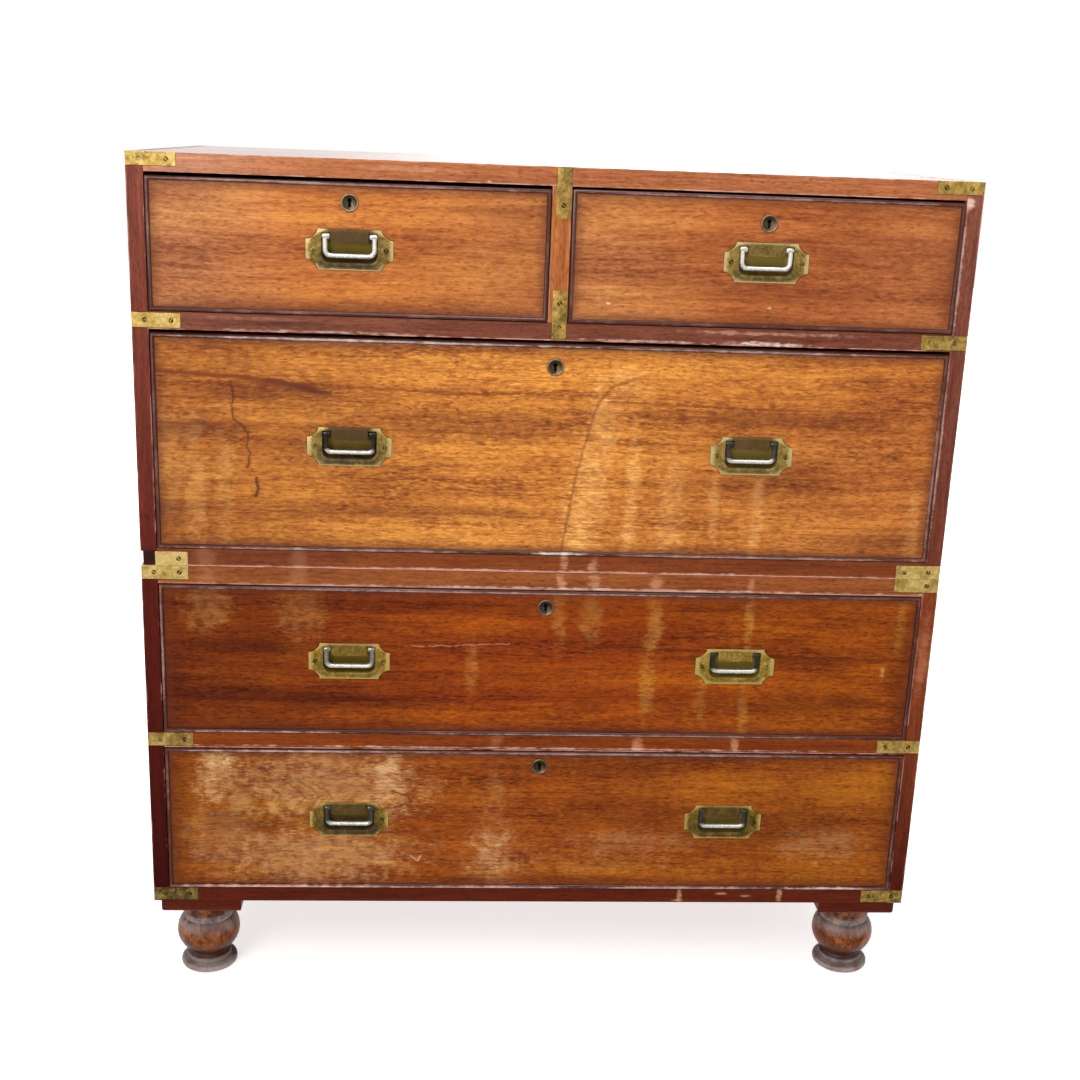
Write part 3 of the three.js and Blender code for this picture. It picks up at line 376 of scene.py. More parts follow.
# Marks on the boards' front edges: tint, strength, then x, z and half sizes in millimetres. Some also say
# how far the grain breaks the mark up and how far it reaches back.
board_marks = {
    # The near-black patch on the upper left side fills the empty recess of the lost strap: old glue, with
    # painted shade in the recess
    "upper_left_side": [("#1c0d08", 0.95, (-451, 543, 22, 14, 0.2, 90))],
    "upper_right_side": [
        ("#d8b8a4", 0.8, (443, 962, 6, 7)), ("#c8a090", 0.55, (440, 880, 2.4, 90)),
        ("#c8a090", 0.5, (440, 680, 2.2, 110)),
    ],
    "lower_right_side": [("#c07a58", 0.4, (448, 440, 9, 60))],
    "top_board": [
        ("#dcb79a", 0.6, (-148, 962, 4, 1.6)), ("#dcb79a", 0.5, (-78, 966, 3, 1.4)),
        ("#dcb79a", 0.5, (-30, 962, 6, 1.4)), ("#cf9a76", 0.4, (-160, 976, 60, 3, 0.95)),
        ("#cf9a76", 0.35, (150, 964, 120, 2, 0.95)),
    ],
    "upper_drawer_rail": [
        ("#d5b7ab", 0.45, (-235, 802, 130, 1.4, 0.95)), ("#dcc4b4", 0.8, (232, 802.5, 50, 3, 0.9)),
        ("#d5b7ab", 0.6, (90, 802, 90, 1.6, 0.95)), ("#c79a84", 0.25, (-330, 814, 60, 2.4, 0.95)),
        ("#c79a84", 0.5, (240, 814, 120, 2.4, 0.95)), ("#3a1a14", 0.5, (-300, 809, 120, 5)),
    ],
    "upper_bottom_board": [
        ("#cf9a76", 0.5, (18, 545, 6, 14, 0.9)), ("#cf9a76", 0.5, (52, 545, 8, 14, 0.9)),
        ("#c18a66", 0.35, (-385, 545, 14, 14)), ("#c18a66", 0.3, (-282, 545, 12, 14)),
        ("#d8b4a0", 0.5, (-60, 536.5, 420, 1.4, 0.95)), ("#4a1d14", 0.5, (-310, 546, 170, 12)),
    ],
    "lower_top_board": [
        ("#cf9a76", 0.5, (16, 524, 7, 14, 0.9)), ("#cf9a76", 0.5, (54, 524, 9, 14, 0.9)),
        ("#c18a66", 0.35, (-385, 524, 14, 14)), ("#c18a66", 0.3, (-282, 524, 14, 14)),
        ("#cf9070", 0.45, (126, 524, 9, 14)), ("#cf9070", 0.35, (237, 524, 5, 14)),
        ("#e0c4b6", 0.5, (60, 516, 420, 1.4, 0.95)), ("#55240f", 0.35, (-300, 526, 160, 9)),
    ],
    "lower_drawer_rail": [
        ("#c98f6a", 0.5, (115, 324, 9, 12)), ("#c98f6a", 0.5, (232, 324, 6, 12)),
        ("#b9805a", 0.3, (-52, 324, 10, 12)), ("#e0c4b6", 0.45, (0, 317, 480, 1.2, 0.95)),
    ],
    "lower_bottom_board": [
        ("#c8a070", 0.6, (178, 123, 4, 12)), ("#c8a070", 0.5, (229, 126, 9, 2)),
        ("#c8a070", 0.5, (262, 123, 9, 2)), ("#c8a070", 0.6, (302, 124, 4, 12)),
        ("#c8a070", 0.5, (176, 117, 8, 2)),
    ],
}
for board_index, (node, along, tone, spread, fade_to) in enumerate(carcase_boards):
    shift = (3.1 * board_index, 7.7 * board_index, 1.3 * board_index)
    dress(node, board_finish(node, along, tone, shift, spread, fade_to))

# Back panels
# Thin pine boards side by side, let into the rebates of each half and left without polish.
# Age has turned them brown, each board a little differently.
back_plank_count = 7


def old_pine(node):
    finish, tree, place = new_finish("aged pine", node)
    low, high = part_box(node)
    across = add(tree, "SeparateXYZ", [place])
    count = add(tree, "MapRange", [across, low.x, high.x, 0.0, back_plank_count])
    plank = add(tree, "Math", [count], operation="FLOOR")
    cast = add(tree, "TexWhiteNoise", {"W": plank}, noise_dimensions="1D")
    apart = add(tree, "CombineXYZ", [0.0, 0.0, plank])
    own = add(tree, "VectorMath", [place, apart], operation="ADD")
    grain = bend(tree, own, 12 * mm, 220 * mm)
    value = add(tree, "Math", [cast, 0.16, -0.72], operation="MULTIPLY_ADD")
    for long, wide, share in ((700, 26, 0.55), (420, 5, 0.65), (160, 1.6, 0.45), (30, 30, 0.5)):
        rings = fibres(tree, grain, "Z", long, wide, 2.0)
        value = add(tree, "Math", [rings, share, value], operation="MULTIPLY_ADD")
    ramp = add(tree, "ValToRGB", [value], stops=(
        (0.15, linear("#54361c")), (0.75, linear("#a17a4c")), (0.45, linear("#80592f"))))
    # Dust and shadow lie dark in the joints between the boards
    within = add(tree, "Math", [count, 0.5], operation="PINGPONG")
    joint = add(tree, "MapRange", [within, 0.008, 0.022, 0.7, 0.0])
    relief = add(tree, "Bump", {"Strength": 0.4, "Distance": 0.2 * mm, "Height": value})
    cover(tree, lay(tree, ramp, (joint, "#2c1c10")), Roughness=0.85, Normal=relief, Specular_IOR_Level=0.2)
    return finish


for node in ("upper_back_panel", "lower_back_panel"):
    dress(node, old_pine(node))

# Feet
# Turned mahogany feet that screw into the blocks: collar, ball, neck with a bead, and a spread base.
# Years of mopped floors and knocks have left them dusty grey on the base and rubbed on the ball.
foot_steps = 64


def turns(steps):
    """The angles of so many even steps round a circle"""
    return [2 * math.pi * step / steps for step in range(steps)]


def skin(shape, rings, wrap=False):
    """Walls from ring to ring, with both ends closed unless the rings run round in a loop"""
    rows = [[shape.verts.new(point) for point in ring] for ring in rings]
    following = rows[1:] + rows[:1] if wrap else rows[1:]
    for row, onward in zip(rows, following):
        for index in range(len(row)):
            beside = (index + 1) % len(row)
            shape.faces.new([row[index], row[beside], onward[beside], onward[index]])
    if not wrap:
        shape.faces.new(rows[0][::-1])
        shape.faces.new(rows[-1])


def fit(name, shape, finish, body, nodes=(), crease=38):
    """Makes a shape a piece of its own: closed, facing outwards, smooth but for its creases"""
    bmesh.ops.remove_doubles(shape, verts=shape.verts, dist=0.001 * mm)
    bmesh.ops.recalc_face_normals(shape, faces=shape.faces)
    for face in shape.faces:
        face.smooth = True
    for edge in shape.edges:
        edge.smooth = len(edge.link_faces) == 2 and edge.calc_face_angle() < math.radians(crease)
    mesh = bpy.data.meshes.new(name)
    shape.to_mesh(mesh)
    shape.free()
    mesh.materials.append(finish)
    piece = stand(name, mesh)
    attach(piece, body)
    if nodes:
        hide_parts(*nodes)
    return piece


def curve_points(start, first, second, end, steps):
    """Points along a cubic curve between two points, with its two handles"""
    points = []
    for index in range(steps + 1):
        share = index / steps
        left = 1 - share
        points.append(tuple(
            left ** 3 * a + 3 * left * left * share * b + 3 * left * share * share * c + share ** 3 * d
            for a, b, c, d in zip(start, first, second, end)))
    return points


def foot_profile():
    """Radius and height of a foot, from the sole up to the spigot, in millimetres"""
    profile = [(29, 0), (29.8, 0.3), (30.2, 1.2), (32.6, 1.6), (33.4, 2.4)]
    profile += curve_points((33.8, 3), (34.3, 4.6), (34.3, 6.6), (33.6, 7.8), 5)
    profile += [(33.2, 8.2), (31.5, 8.5), (29.6, 8.7), (28.8, 8.3), (28.0, 8.4), (27.6, 9.0)]
    profile += curve_points((27.6, 9.6), (26.4, 11.2), (25.4, 12.6), (25.2, 13.6), 5)
    profile += curve_points((25.6, 13.9), (27.4, 14.2), (27.4, 16.4), (25.6, 16.8), 7)
    profile += curve_points((24.2, 17.2), (23.0, 18), (22.2, 19.2), (22.4, 20.2), 4)
    profile += curve_points((23.0, 20.7), (29.6, 25.6), (37.8, 35), (38, 46.5), 16)
    profile += curve_points((38, 46.5), (38, 55), (35.6, 62), (30.6, 65.4), 14)
    profile += [(29.6, 65.8), (29.2, 66.5), (29.6, 67.2), (30.3, 67.6)]
    profile += [(30.5, 68.6), (30.5, 71.4), (30.0, 71.9), (30.0, 72.6), (30.5, 73.1)]
    profile += [(30.5, 93.2), (30, 93.7), (12, 93.7), (12, 117.6)]
    return profile


def turned_finish():
    finish, tree, place = new_finish("turned mahogany, worn and dusty")
    colour, height = mahogany(tree, place, "Z", (5, 2, 8), "#69330f", band=0.5, streak=0.9, fleck=0.7)
    level = add(tree, "SeparateXYZ", [place], output=2)
    dust = add(tree, "TexNoise", {"Vector": place, "Scale": 1 / (14 * mm), "Detail": 4.0, "Roughness": 0.65})
    rising = add(tree, "Math", [level, 10.0], operation="MULTIPLY")
    rubbed = add(tree, "ValToRGB", [rising], stops=greys(
        (0.0, 0.45), (0.77, 0.05), (0.03, 0.85), (0.085, 1.0), (0.1, 0.45), (0.14, 1.0), (0.17, 0.25),
        (0.22, 0.0), (0.52, 0.0), (0.63, 0.75), (0.72, 0.8)))
    dusty = add(tree, "Math", [dust, 2.6, -0.55], operation="MULTIPLY_ADD", use_clamp=True)
    mask = add(tree, "Math", [rubbed, dusty], operation="MULTIPLY")
    # Painted shade: the feet are painted darker at the sole, in the grooves and neck, on the lower half of
    # the ball and on the collar under the block
    sunk = add(tree, "ValToRGB", [rising], stops=greys(
        (0.0, 0.7), (0.8, 0.6), (0.02, 0.0), (0.085, 0.0), (0.105, 0.75), (0.13, 0.2), (0.19, 0.85),
        (0.35, 0.65), (0.48, 0.05), (0.63, 0.0), (0.67, 0.9)))
    # Painted highlight: a lighter orange is painted on the upper part of the ball
    polished = add(tree, "MapRange", [dust, 0.46, 0.62, 0.0, 0.65])
    ball = add(tree, "MapRange", [level, 30 * mm, 46 * mm])
    polished = add(tree, "Math", [polished, ball], operation="MULTIPLY")
    colour = lay(tree, colour, (sunk, "#26100a"), (polished, "#9c5f34"), (mask, "#978c8a"))
    relief = add(tree, "Bump", {"Strength": 0.4, "Distance": 0.3 * mm, "Height": dust})
    rough = add(tree, "Math", [mask, 0.4, 0.3], operation="MULTIPLY_ADD")
    cover(tree, colour, Roughness=rough, Normal=relief, IOR=1.5, Specular_IOR_Level=0.12)
    return finish


worn_turning = turned_finish()
for node in ("front_left_foot", "front_right_foot", "back_left_foot", "back_right_foot"):
    low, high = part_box(node)
    axis_x, axis_y = (low.x + high.x) / 2, (low.y + high.y) / 2
    shape = bmesh.new()
    skin(shape, [[(axis_x + radius * mm * math.cos(turn), axis_y + radius * mm * math.sin(turn), height * mm)
                  for turn in turns(foot_steps)] for radius, height in foot_profile()])
    fit(f"{node}_turning", shape, worn_turning, "lower_chest", [node])

# Drawer fronts
# Figured mahogany boards with the grain across the drawer, recessed for the handles and the lock.
# The fronts have faded to an orange brown, with bleached patches and pale runs where water ran down them.
front_y = cad_box[0][1] + 2.5 * mm
bead_width = 4.5 * mm
planed_off = 0.01 * mm
drawer_names = ("bottom_drawer", "middle_drawer", "deep_drawer", "top_left_drawer", "top_right_drawer")


def stroke(tree, place, points, width, strength, foot_z):
    """A thin line through points in millimetres above the front's lower edge: strength, and 0 beside it"""
    mask = 0.0
    for (x1, z1), (x2, z2) in zip(points, points[1:]):
        span = Vector(((x2 - x1) * mm, 0, (z2 - z1) * mm))
        start = add(tree, "VectorMath", [place, [x1 * mm, front_y, foot_z + z1 * mm]], operation="SUBTRACT")
        along = add(tree, "VectorMath", [start, span / span.length_squared], output="Value",
                    operation="DOT_PRODUCT")
        share = add(tree, "Math", [along, 0.0], operation="ADD", use_clamp=True)
        reached = add(tree, "VectorMath", {0: span, "Scale": share}, operation="SCALE")
        away = add(tree, "VectorMath", [start, reached], output="Value", operation="DISTANCE")
        near = add(tree, "MapRange", [away, width * 0.3 * mm, width * mm, strength, 0.0])
        mask = add(tree, "Math", [mask, near], operation="MAXIMUM")
    return mask


# Tints of the marks on each front
front_tints = {
    "top_left_drawer": {"gilt": "#bd7530", "umber": "#7a3c18"},
    "top_right_drawer": {"bleached": "#e0c4a8", "gilt": "#b56c2a", "umber": "#733616"},
    "deep_drawer": {"pale": "#dfa65c", "gilt": "#cf8936", "umber": "#6a2e0e"},
    "middle_drawer": {"pale": "#b07a54", "bleached": "#c89878", "gilt": "#9a4c06", "umber": "#471602"},
    "bottom_drawer": {"pale": "#b67c54", "bleached": "#cc9a78", "gilt": "#a05a1a", "umber": "#5a2604"},
}
# How far the grain breaks up each kind of mark, and how much of the grain the mark hides
mark_nature = {
    "umber": (0.5, 0.25),
    "gilt": (0.5, 0.15),
    "pale": (0.8, 0.4),
    "bleached": (0.75, 0.55),
    "crack": (0.5, 0.9),
}
crack = "#401818"
# Marks by kind: strength, then x, height above the front's lower edge and half sizes, in millimetres
front_marks = {
    "top_left_drawer": {
        "umber": [
            (0.48, -420, 126, 90, 26), (0.6, -60, 112, 90, 14), (0.42, -410, 60, 60, 40),
            (0.54, -250, 9, 260, 14),
        ],
        "gilt": [(0.41, -330, 108, 150, 22), (0.41, -90, 56, 90, 40), (0.31, -260, 30, 120, 16)],
    },
    "top_right_drawer": {
        "umber": [(0.36, 340, 86, 130, 34), (0.5, 230, 38, 150, 14), (0.54, 420, 66, 28, 90)],
        "gilt": [(0.36, 100, 111, 120, 26), (0.36, 120, 30, 110, 20)],
        "bleached": [(0.66, 55, 24, 3, 1.6), (0.66, 232, 22, 2.4, 1.6)],
    },
    "deep_drawer": {
        "umber": [
            (0.66, -300, 181, 80, 12), (0.72, 240, 162, 240, 15), (0.6, 250, 90, 110, 34),
            (0.66, -390, 140, 80, 9), (0.46, 380, 25, 90, 14), (0.53, -80, 150, 150, 24),
            (0.46, -230, 130, 80, 30), (0.53, -430, 40, 40, 26), (0.53, -120, 46, 180, 9),
        ],
        "gilt": [
            (0.56, -150, 26, 260, 24), (0.56, -300, 158, 120, 20), (0.46, 320, 30, 130, 30),
            (0.61, -180, 212, 340, 26), (0.56, 220, 214, 260, 26), (0.46, -330, 90, 130, 34),
            (0.42, 320, 128, 120, 18),
        ],
        "pale": [
            (0.56, 35, 36, 26, 66), (0.56, 45, 90, 26, 66), (0.5, 56, 145, 24, 60), (0.3, 80, 195, 40, 26),
            (0.48, 93, 90, 9, 90), (0.5, 90, 26, 9, 50), (0.36, 137, 50, 20, 90), (0.36, 187, 64, 7, 60),
            (0.44, 236, 48, 9, 84), (0.3, 418, 40, 9, 60), (0.41, -395, 70, 16, 100),
            (0.32, -362, 66, 13, 90), (0.3, -422, 100, 20, 80),
        ],
        "crack": [(0.7, 388, 122, 14, 4), (0.75, -80, 129, 8, 3), (0.6, -386, 146, 16, 4)],
    },
    "middle_drawer": {
        "umber": [
            (0.73, -350, 108, 120, 14), (0.53, -300, 44, 180, 14), (0.6, 300, 44, 190, 14),
            (0.53, 280, 99, 190, 10), (0.55, 425, 72, 24, 100), (0.4, -430, 60, 26, 90),
            (0.53, 0, 158, 420, 14),
        ],
        "gilt": [
            (0.51, -60, 22, 460, 22), (0.36, 300, 24, 180, 18), (0.4, 235, 134, 70, 26),
            (0.32, -330, 72, 110, 26), (0.32, 100, 72, 240, 16), (0.36, -120, 134, 150, 16),
        ],
        "pale": [
            (0.45, -385, 157, 34, 42), (0.38, -280, 150, 34, 52), (0.34, 16, 146, 11, 46),
            (0.34, 52, 146, 16, 44), (0.49, 126, 142, 12, 56), (0.36, 122, 77, 11, 60),
            (0.38, 237, 142, 7, 60), (0.36, 238, 37, 8, 54), (0.22, 186, 47, 10, 36), (0.27, 418, 142, 7, 50),
            (0.33, -84, 82, 9, 44),
        ],
        "bleached": [(0.52, 402, 84, 4, 10)],
    },
    "bottom_drawer": {
        "umber": [
            (0.48, 260, 68, 170, 14), (0.54, -430, 98, 28, 100), (0.48, 60, 160, 170, 16),
            (0.42, 428, 98, 20, 110), (0.48, 330, 96, 80, 36), (0.48, -345, 88, 60, 26),
            (0.42, 100, 100, 140, 26), (0.36, -180, 60, 60, 20), (0.42, 30, 12, 200, 8),
        ],
        "gilt": [
            (0.43, -300, 100, 60, 26), (0.39, 210, 138, 110, 26), (0.45, 385, 138, 70, 34),
            (0.48, 150, 26, 300, 18), (0.38, 360, 24, 110, 20), (0.3, -100, 128, 100, 30),
        ],
        "pale": [
            (0.3, -52, 92, 24, 90), (0.27, -375, 162, 20, 30), (0.23, -180, 156, 22, 34),
            (0.21, 60, 32, 140, 16),
        ],
        "bleached": [
            (0.5, -250, 132, 130, 66), (0.53, -265, 42, 140, 52), (0.29, -370, 60, 60, 60),
            (0.68, -377, 150, 34, 54), (0.42, -352, 118, 26, 40), (0.63, -180, 140, 38, 60),
            (0.39, -215, 44, 60, 50), (0.29, -50, 36, 44, 50), (0.25, 350, 60, 60, 26),
            (0.25, 110, 60, 90, 20),
        ],
    },
}
# Lines: kind, strength, width, and points as x and height above the front's lower edge, in millimetres
front_lines = {
    "top_left_drawer": [],
    "top_right_drawer": [],
    "deep_drawer": [
        ("crack", 0.65, 2.1, [(-353, 190), (-350, 172), (-353, 163), (-351, 148), (-342, 142), (-335, 133),
         (-337, 118), (-333, 110), (-336, 94)]),
        ("crack", 0.75, 2.6, [(-327, 82), (-325, 70), (-328, 62)]),
        ("umber", 0.5, 2.6, [(96, 206), (66, 196), (50, 178), (41, 150), (34, 120), (27, 90), (21, 50),
         (15, 6)]),
        ("umber", 0.85, 3.4, [(-440, 200), (-350, 195), (-300, 191), (-262, 183)]),
        ("crack", 0.5, 6.0, [(-314, 191), (-285, 186), (-262, 181), (-246, 178)]),
        ("umber", 0.6, 2.0, [(-330, 191), (-200, 186), (-110, 183), (-40, 184)]),
        ("umber", 0.5, 1.8, [(-210, 141), (-60, 138), (40, 139)]),
        ("umber", 0.5, 1.8, [(-430, 47), (-250, 44), (-90, 47), (10, 42)]),
        ("umber", 0.5, 1.8, [(60, 178), (200, 174), (430, 172)]),
        ("umber", 0.55, 2.0, [(-440, 144), (-400, 141), (-360, 143)]),
    ],
    "middle_drawer": [
        ("bleached", 0.4, 1.0, [(-160, 109), (-100, 111), (-40, 114)]),
        ("umber", 0.5, 2.0, [(60, 113), (170, 109), (300, 102), (430, 100)]),
        ("umber", 0.5, 1.8, [(-430, 44), (-300, 40), (-120, 46)]),
        ("umber", 0.45, 1.8, [(-440, 112), (-330, 108), (-250, 112)]),
    ],
    "bottom_drawer": [
        ("crack", 0.6, 1.8, [(-196, 104), (-170, 106), (-150, 115), (-158, 122), (-176, 128)]),
        ("umber", 0.5, 2.2, [(-302, 140), (-284, 127), (-276, 118), (-286, 108)]),
        ("umber", 0.45, 2.2, [(-286, 141), (-268, 129), (-260, 118), (-270, 107)]),
        ("umber", 0.4, 2.0, [(-268, 137), (-252, 127), (-245, 118), (-254, 108)]),
        ("umber", 0.4, 2.0, [(-318, 132), (-304, 120), (-312, 110)]),
        ("umber", 0.45, 1.8, [(40, 63), (180, 57), (300, 51), (430, 53)]),
        ("bleached", 0.6, 1.6, [(-152, 43), (-143, 36), (-139, 42)]),
    ],
}
# The wood's tone at the left, in the middle and at the right of each front
front_tones = {
    "top_left_drawer": ("#a8693a", "#a55d24", "#9e5c2a"),
    "top_right_drawer": ("#a36333", "#985223", "#9e5a2d"),
    "deep_drawer": ("#925116", "#b36d26", "#9d571d"),
    "middle_drawer": ("#632501", "#7a3001", "#823b02"),
    "bottom_drawer": ("#7b3b0d", "#853f07", "#834118"),
}
# How strong each kind of grain is on a front: bands, streaks, flecks, figure and glints
front_grain = {
    "top_left_drawer": (1.1, 0.8, 0.7, 0.3, 0.3),
    "top_right_drawer": (0.9, 0.8, 0.7, 0.3, 0.3),
    "deep_drawer": (0.9, 1.0, 1.0, 0.5, 0.6),
    "middle_drawer": (1.1, 1.1, 1.0, 0.4, 0.4),
    "bottom_drawer": (0.9, 0.9, 1.0, 0.6, 0.5),
}


def front_finish(drawer, low, high, shift):
    finish, tree, place = new_finish("faded figured mahogany", drawer)
    left_tone, tone, right_tone = front_tones[drawer]
    colour, height = mahogany(tree, place, "X", shift, tone, *front_grain[drawer])
    across = add(tree, "SeparateXYZ", [place])
    middle_x, quarter = (low.x + high.x) / 2, (high.x - low.x) / 4
    for reach, side_tone in ((-quarter, left_tone), (quarter, right_tone)):
        colour = fade(tree, colour, across, middle_x + reach * 0.4, middle_x + reach * 1.6, tone, side_tone)
    drifting = bend(tree, place, 7 * mm, 60 * mm)
    lie = add(tree, "VectorMath", [drifting, [3.5 * mm, 0, 3.5 * mm]], operation="SUBTRACT")
    torn = torn_grain(tree, place, 7, 1.9)
    worn = None
    tints = front_tints[drawer] | {"crack": crack}
    for kind, marks in front_marks[drawer].items():
        ragged, film = mark_nature[kind]
        mask = 0.0
        for strength, x, z, reach_x, reach_z in marks:
            mark = patch(tree, lie, torn, strength, x, low.z / mm + z, reach_x, reach_z, ragged)
            mask = add(tree, "Math", [mask, mark], operation="MAXIMUM")
        colour = retone(tree, colour, mask, tone, tints[kind], film)
        if kind in ("pale", "bleached"):
            worn = mask
    wandering = bend(tree, place, 4 * mm, 9 * mm)
    line_lie = add(tree, "VectorMath", [wandering, [2 * mm] * 3], operation="SUBTRACT")
    for kind, strength, width, points in front_lines[drawer]:
        colour = lay(tree, colour, (stroke(tree, line_lie, points, width, strength, low.z), tints[kind]))
    # The front is darker in a band along the inside of the bead
    near = inside(tree, place, low, high)
    edge = add(tree, "Math", [near[0], near[2]], operation="MINIMUM")
    darker_by_bead = add(tree, "MapRange", [edge, bead_width, bead_width + 13 * mm, 0.5, 0.0],
               interpolation_type="SMOOTHSTEP")
    colour = lay(tree, colour, (darker_by_bead, "#5a2814"))
    polish(tree, colour, height, worn or darker_by_bead, gloss=0.34,
           sheen=0.1 if drawer in ("middle_drawer", "bottom_drawer") else 0.2)
    return finish


front_boxes = {}
for drawer_index, drawer in enumerate(drawer_names):
    node = f"{drawer}_front"
    low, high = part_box(node)
    front_boxes[drawer] = (low, high)
    shape = bmesh.new()
    shape.from_mesh(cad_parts[node].data)
    bmesh.ops.remove_doubles(shape, verts=shape.verts, dist=0.002 * mm)
    # The face is planed by a hair and closed again, in clean triangles round its recesses
    everything = shape.verts[:] + shape.edges[:] + shape.faces[:]
    planed = bmesh.ops.bisect_plane(shape, geom=everything, plane_co=(0, front_y + planed_off, 0),
                                    plane_no=(0, -1, 0), clear_outer=True)
    rim = [piece for piece in planed["geom_cut"] if isinstance(piece, bmesh.types.BMEdge)]
    bmesh.ops.triangle_fill(shape, edges=rim, use_beauty=True, use_dissolve=False, normal=(0, -1, 0))
    finish = front_finish(drawer, low, high, (2.3 * drawer_index, 5.9 * drawer_index, 4.1 * drawer_index))
    fit(f"{drawer}_board", shape, finish, drawer, [node], crease=25)

# Cock beads
# A thin strip with a rounded nose, mitred at the corners and glued round each front, standing proud of it.
# It takes the knocks, so its dark polish is rubbed through in places along the nose, and a highlight is
# painted along the nose, strongest along the top of each bead.
bead_proud = 2.5 * mm
bead_shoulder = 0.25 * mm
bead_sunk = 0.2 * mm
bead_arc_steps = 10
# Rubbed places on each bead, and the painted highlights along the top of each bead where the nose catches the
# light: tint, strength, then x, height above the front's lower edge and half sizes
bead_rubs_and_highlights = {
    "top_left_drawer": [("#b49a98", 0.4, (-220, 138, 215, 1.4))],
    "top_right_drawer": [("#b49a98", 0.4, (220, 139, 215, 1.4))],
    "deep_drawer": [
        ("#cfc2c4", 0.6, (-180, 237.8, 260, 1.5)), ("#b8a4a6", 0.5, (220, 237.8, 220, 1.4)),
        ("#e6ddd2", 0.8, (12, 2, 34, 2.2)), ("#b08a80", 0.4, (434.5, 100, 2, 110)),
        ("#cfa79c", 0.5, (-250, 1.5, 190, 2)), ("#cfa79c", 0.5, (230, 1.5, 200, 2)),
    ],
    "middle_drawer": [
        ("#b99a8c", 0.4, (-436.5, 100, 1.8, 80)), ("#dcc4bc", 0.6, (-330, 1, 110, 2)),
        ("#dcc4bc", 0.4, (120, 1, 300, 1.8)), ("#cfb0aa", 0.5, (-60, 176, 400, 1.4)),
    ],
    "bottom_drawer": [
        ("#dcaa9c", 0.8, (-290, 1.5, 160, 3)), ("#dcaa9c", 0.7, (-60, 1.5, 130, 2.6)),
        ("#dcaa9c", 0.7, (170, 1.5, 120, 2.6)), ("#e2c8bc", 0.8, (370, 1.5, 70, 2.6)),
        ("#cfb0aa", 0.6, (-300, 178, 150, 1.4)), ("#cfb0aa", 0.4, (100, 178, 330, 1.4)),
    ],
}


def bead_finish(drawer, low, high):
    finish, tree, place = new_finish("dark polished mahogany bead", drawer)
    colour, height = mahogany(tree, place, "X", (9, 4, 1), "#431c14", band=0.3, streak=0.4, fleck=0.3)
    depth = add(tree, "SeparateXYZ", [place], output=1)
    # The nose is tinted pale: rubbed wear where the noise is high, and a faint painted highlight all along it
    nose = add(tree, "MapRange", [depth, front_y - bead_proud, front_y - bead_proud + 1.1 * mm, 1.0, 0.0])
    rubs = add(tree, "TexNoise", {"Vector": place, "Scale": 1 / (50 * mm), "Detail": 4.0, "Roughness": 0.7})
    rubbed = add(tree, "MapRange", [rubs, 0.5, 0.72, 0.1, 0.7])
    worn = add(tree, "Math", [nose, rubbed], operation="MULTIPLY")
    colour = marked(tree, lay(tree, colour, (worn, "#8f6a60")), place, bead_rubs_and_highlights[drawer], low.z / mm)
    polish(tree, colour, height, worn, gloss=0.1, sheen=0.5, relief=0.1)
    return finish


bead_section = [(0, -bead_sunk), (0, bead_shoulder)]
for step in range(1, bead_arc_steps):
    turn = math.pi * step / bead_arc_steps
    rise = bead_shoulder + (bead_proud - bead_shoulder) * math.sin(turn)
    bead_section.append((bead_width / 2 * (1 - math.cos(turn)), rise))
bead_section += [(bead_width, bead_shoulder), (bead_width, -bead_sunk)]
for drawer in drawer_names:
    low, high = front_boxes[drawer]
    shape = bmesh.new()
    skin(shape, [[(corner_x + sign_x * inward, front_y - outward, corner_z + sign_z * inward)
                  for inward, outward in bead_section]
                 for corner_x, corner_z, sign_x, sign_z in (
                     (low.x, low.z, 1, 1), (high.x, low.z, -1, 1),
                     (high.x, high.z, -1, -1), (low.x, high.z, 1, -1))], wrap=True)
    fit(f"{drawer}_bead", shape, bead_finish(drawer, low, high), drawer)

# Lock nozzles
# A turned metal ring let in at the top of each front, with a pipe-key hole that opens downwards.
# It is dark bronze, rubbed bright on the rim by keys.
nozzle_steps = 72
# From the foot of the ring to its inner edge: radius, and how far out from the front, in millimetres
nozzle_rings = ((9.5, -7.6), (9.5, 0.7), (9.3, 1.1), (8.8, 1.4), (8.1, 1.35), (7.6, 1.0), (7.3, 0.7))
# From the keyhole's rim to its bottom: how far outside its edge, and how far out from the front
keyhole_rings = ((0.5, 0.5), (0.0, 0.3), (0.0, -7.0))
keyhole_radius = 2.35 * mm
keyhole_half_slot = 1.2 * mm
keyhole_drop = 7 * mm
# How far each nozzle's middle lies below the top of its front
nozzle_drops = {"bottom_drawer": 19, "middle_drawer": 20.5, "deep_drawer": 25.5,
                "top_left_drawer": 21.2, "top_right_drawer": 29}


def nozzle_finish():
    finish, tree, place = new_finish("patinated bronze, rim rubbed bright")
    depth = add(tree, "SeparateXYZ", [place], output=1)
    rim = add(tree, "MapRange", [depth, front_y - 1.4 * mm, front_y - 0.8 * mm, 1.0, 0.0])
    grime = add(tree, "TexNoise", {"Vector": place, "Scale": 1 / (3 * mm), "Detail": 3.0})
    rubbed = add(tree, "Math", [rim, grime], operation="MULTIPLY")
    # Painted shade: the keyhole's walls and bottom are painted near black
    hole = add(tree, "MapRange", [depth, front_y + 0.2 * mm, front_y + 1 * mm])
    colour = lay(tree, linear("#5e4c39"), (rubbed, "#cdb896"), (hole, "#060505"))
    bare = add(tree, "MapRange", [hole, 0.0, 1.0, 0.85, 0.0])
    rough = add(tree, "MapRange", [hole, 0.0, 1.0, 0.38, 1.0])
    cover(tree, colour, Metallic=bare, Roughness=rough)
    return finish


def keyhole_reach(turn):
    """The keyhole's edge from the middle of its round part: turn is 0 straight down"""
    across = abs(math.sin(turn))
    if math.cos(turn) <= 0:
        return keyhole_radius
    slot = min(keyhole_half_slot / max(across, 0.001), keyhole_drop / math.cos(turn))
    return max(keyhole_radius, slot)


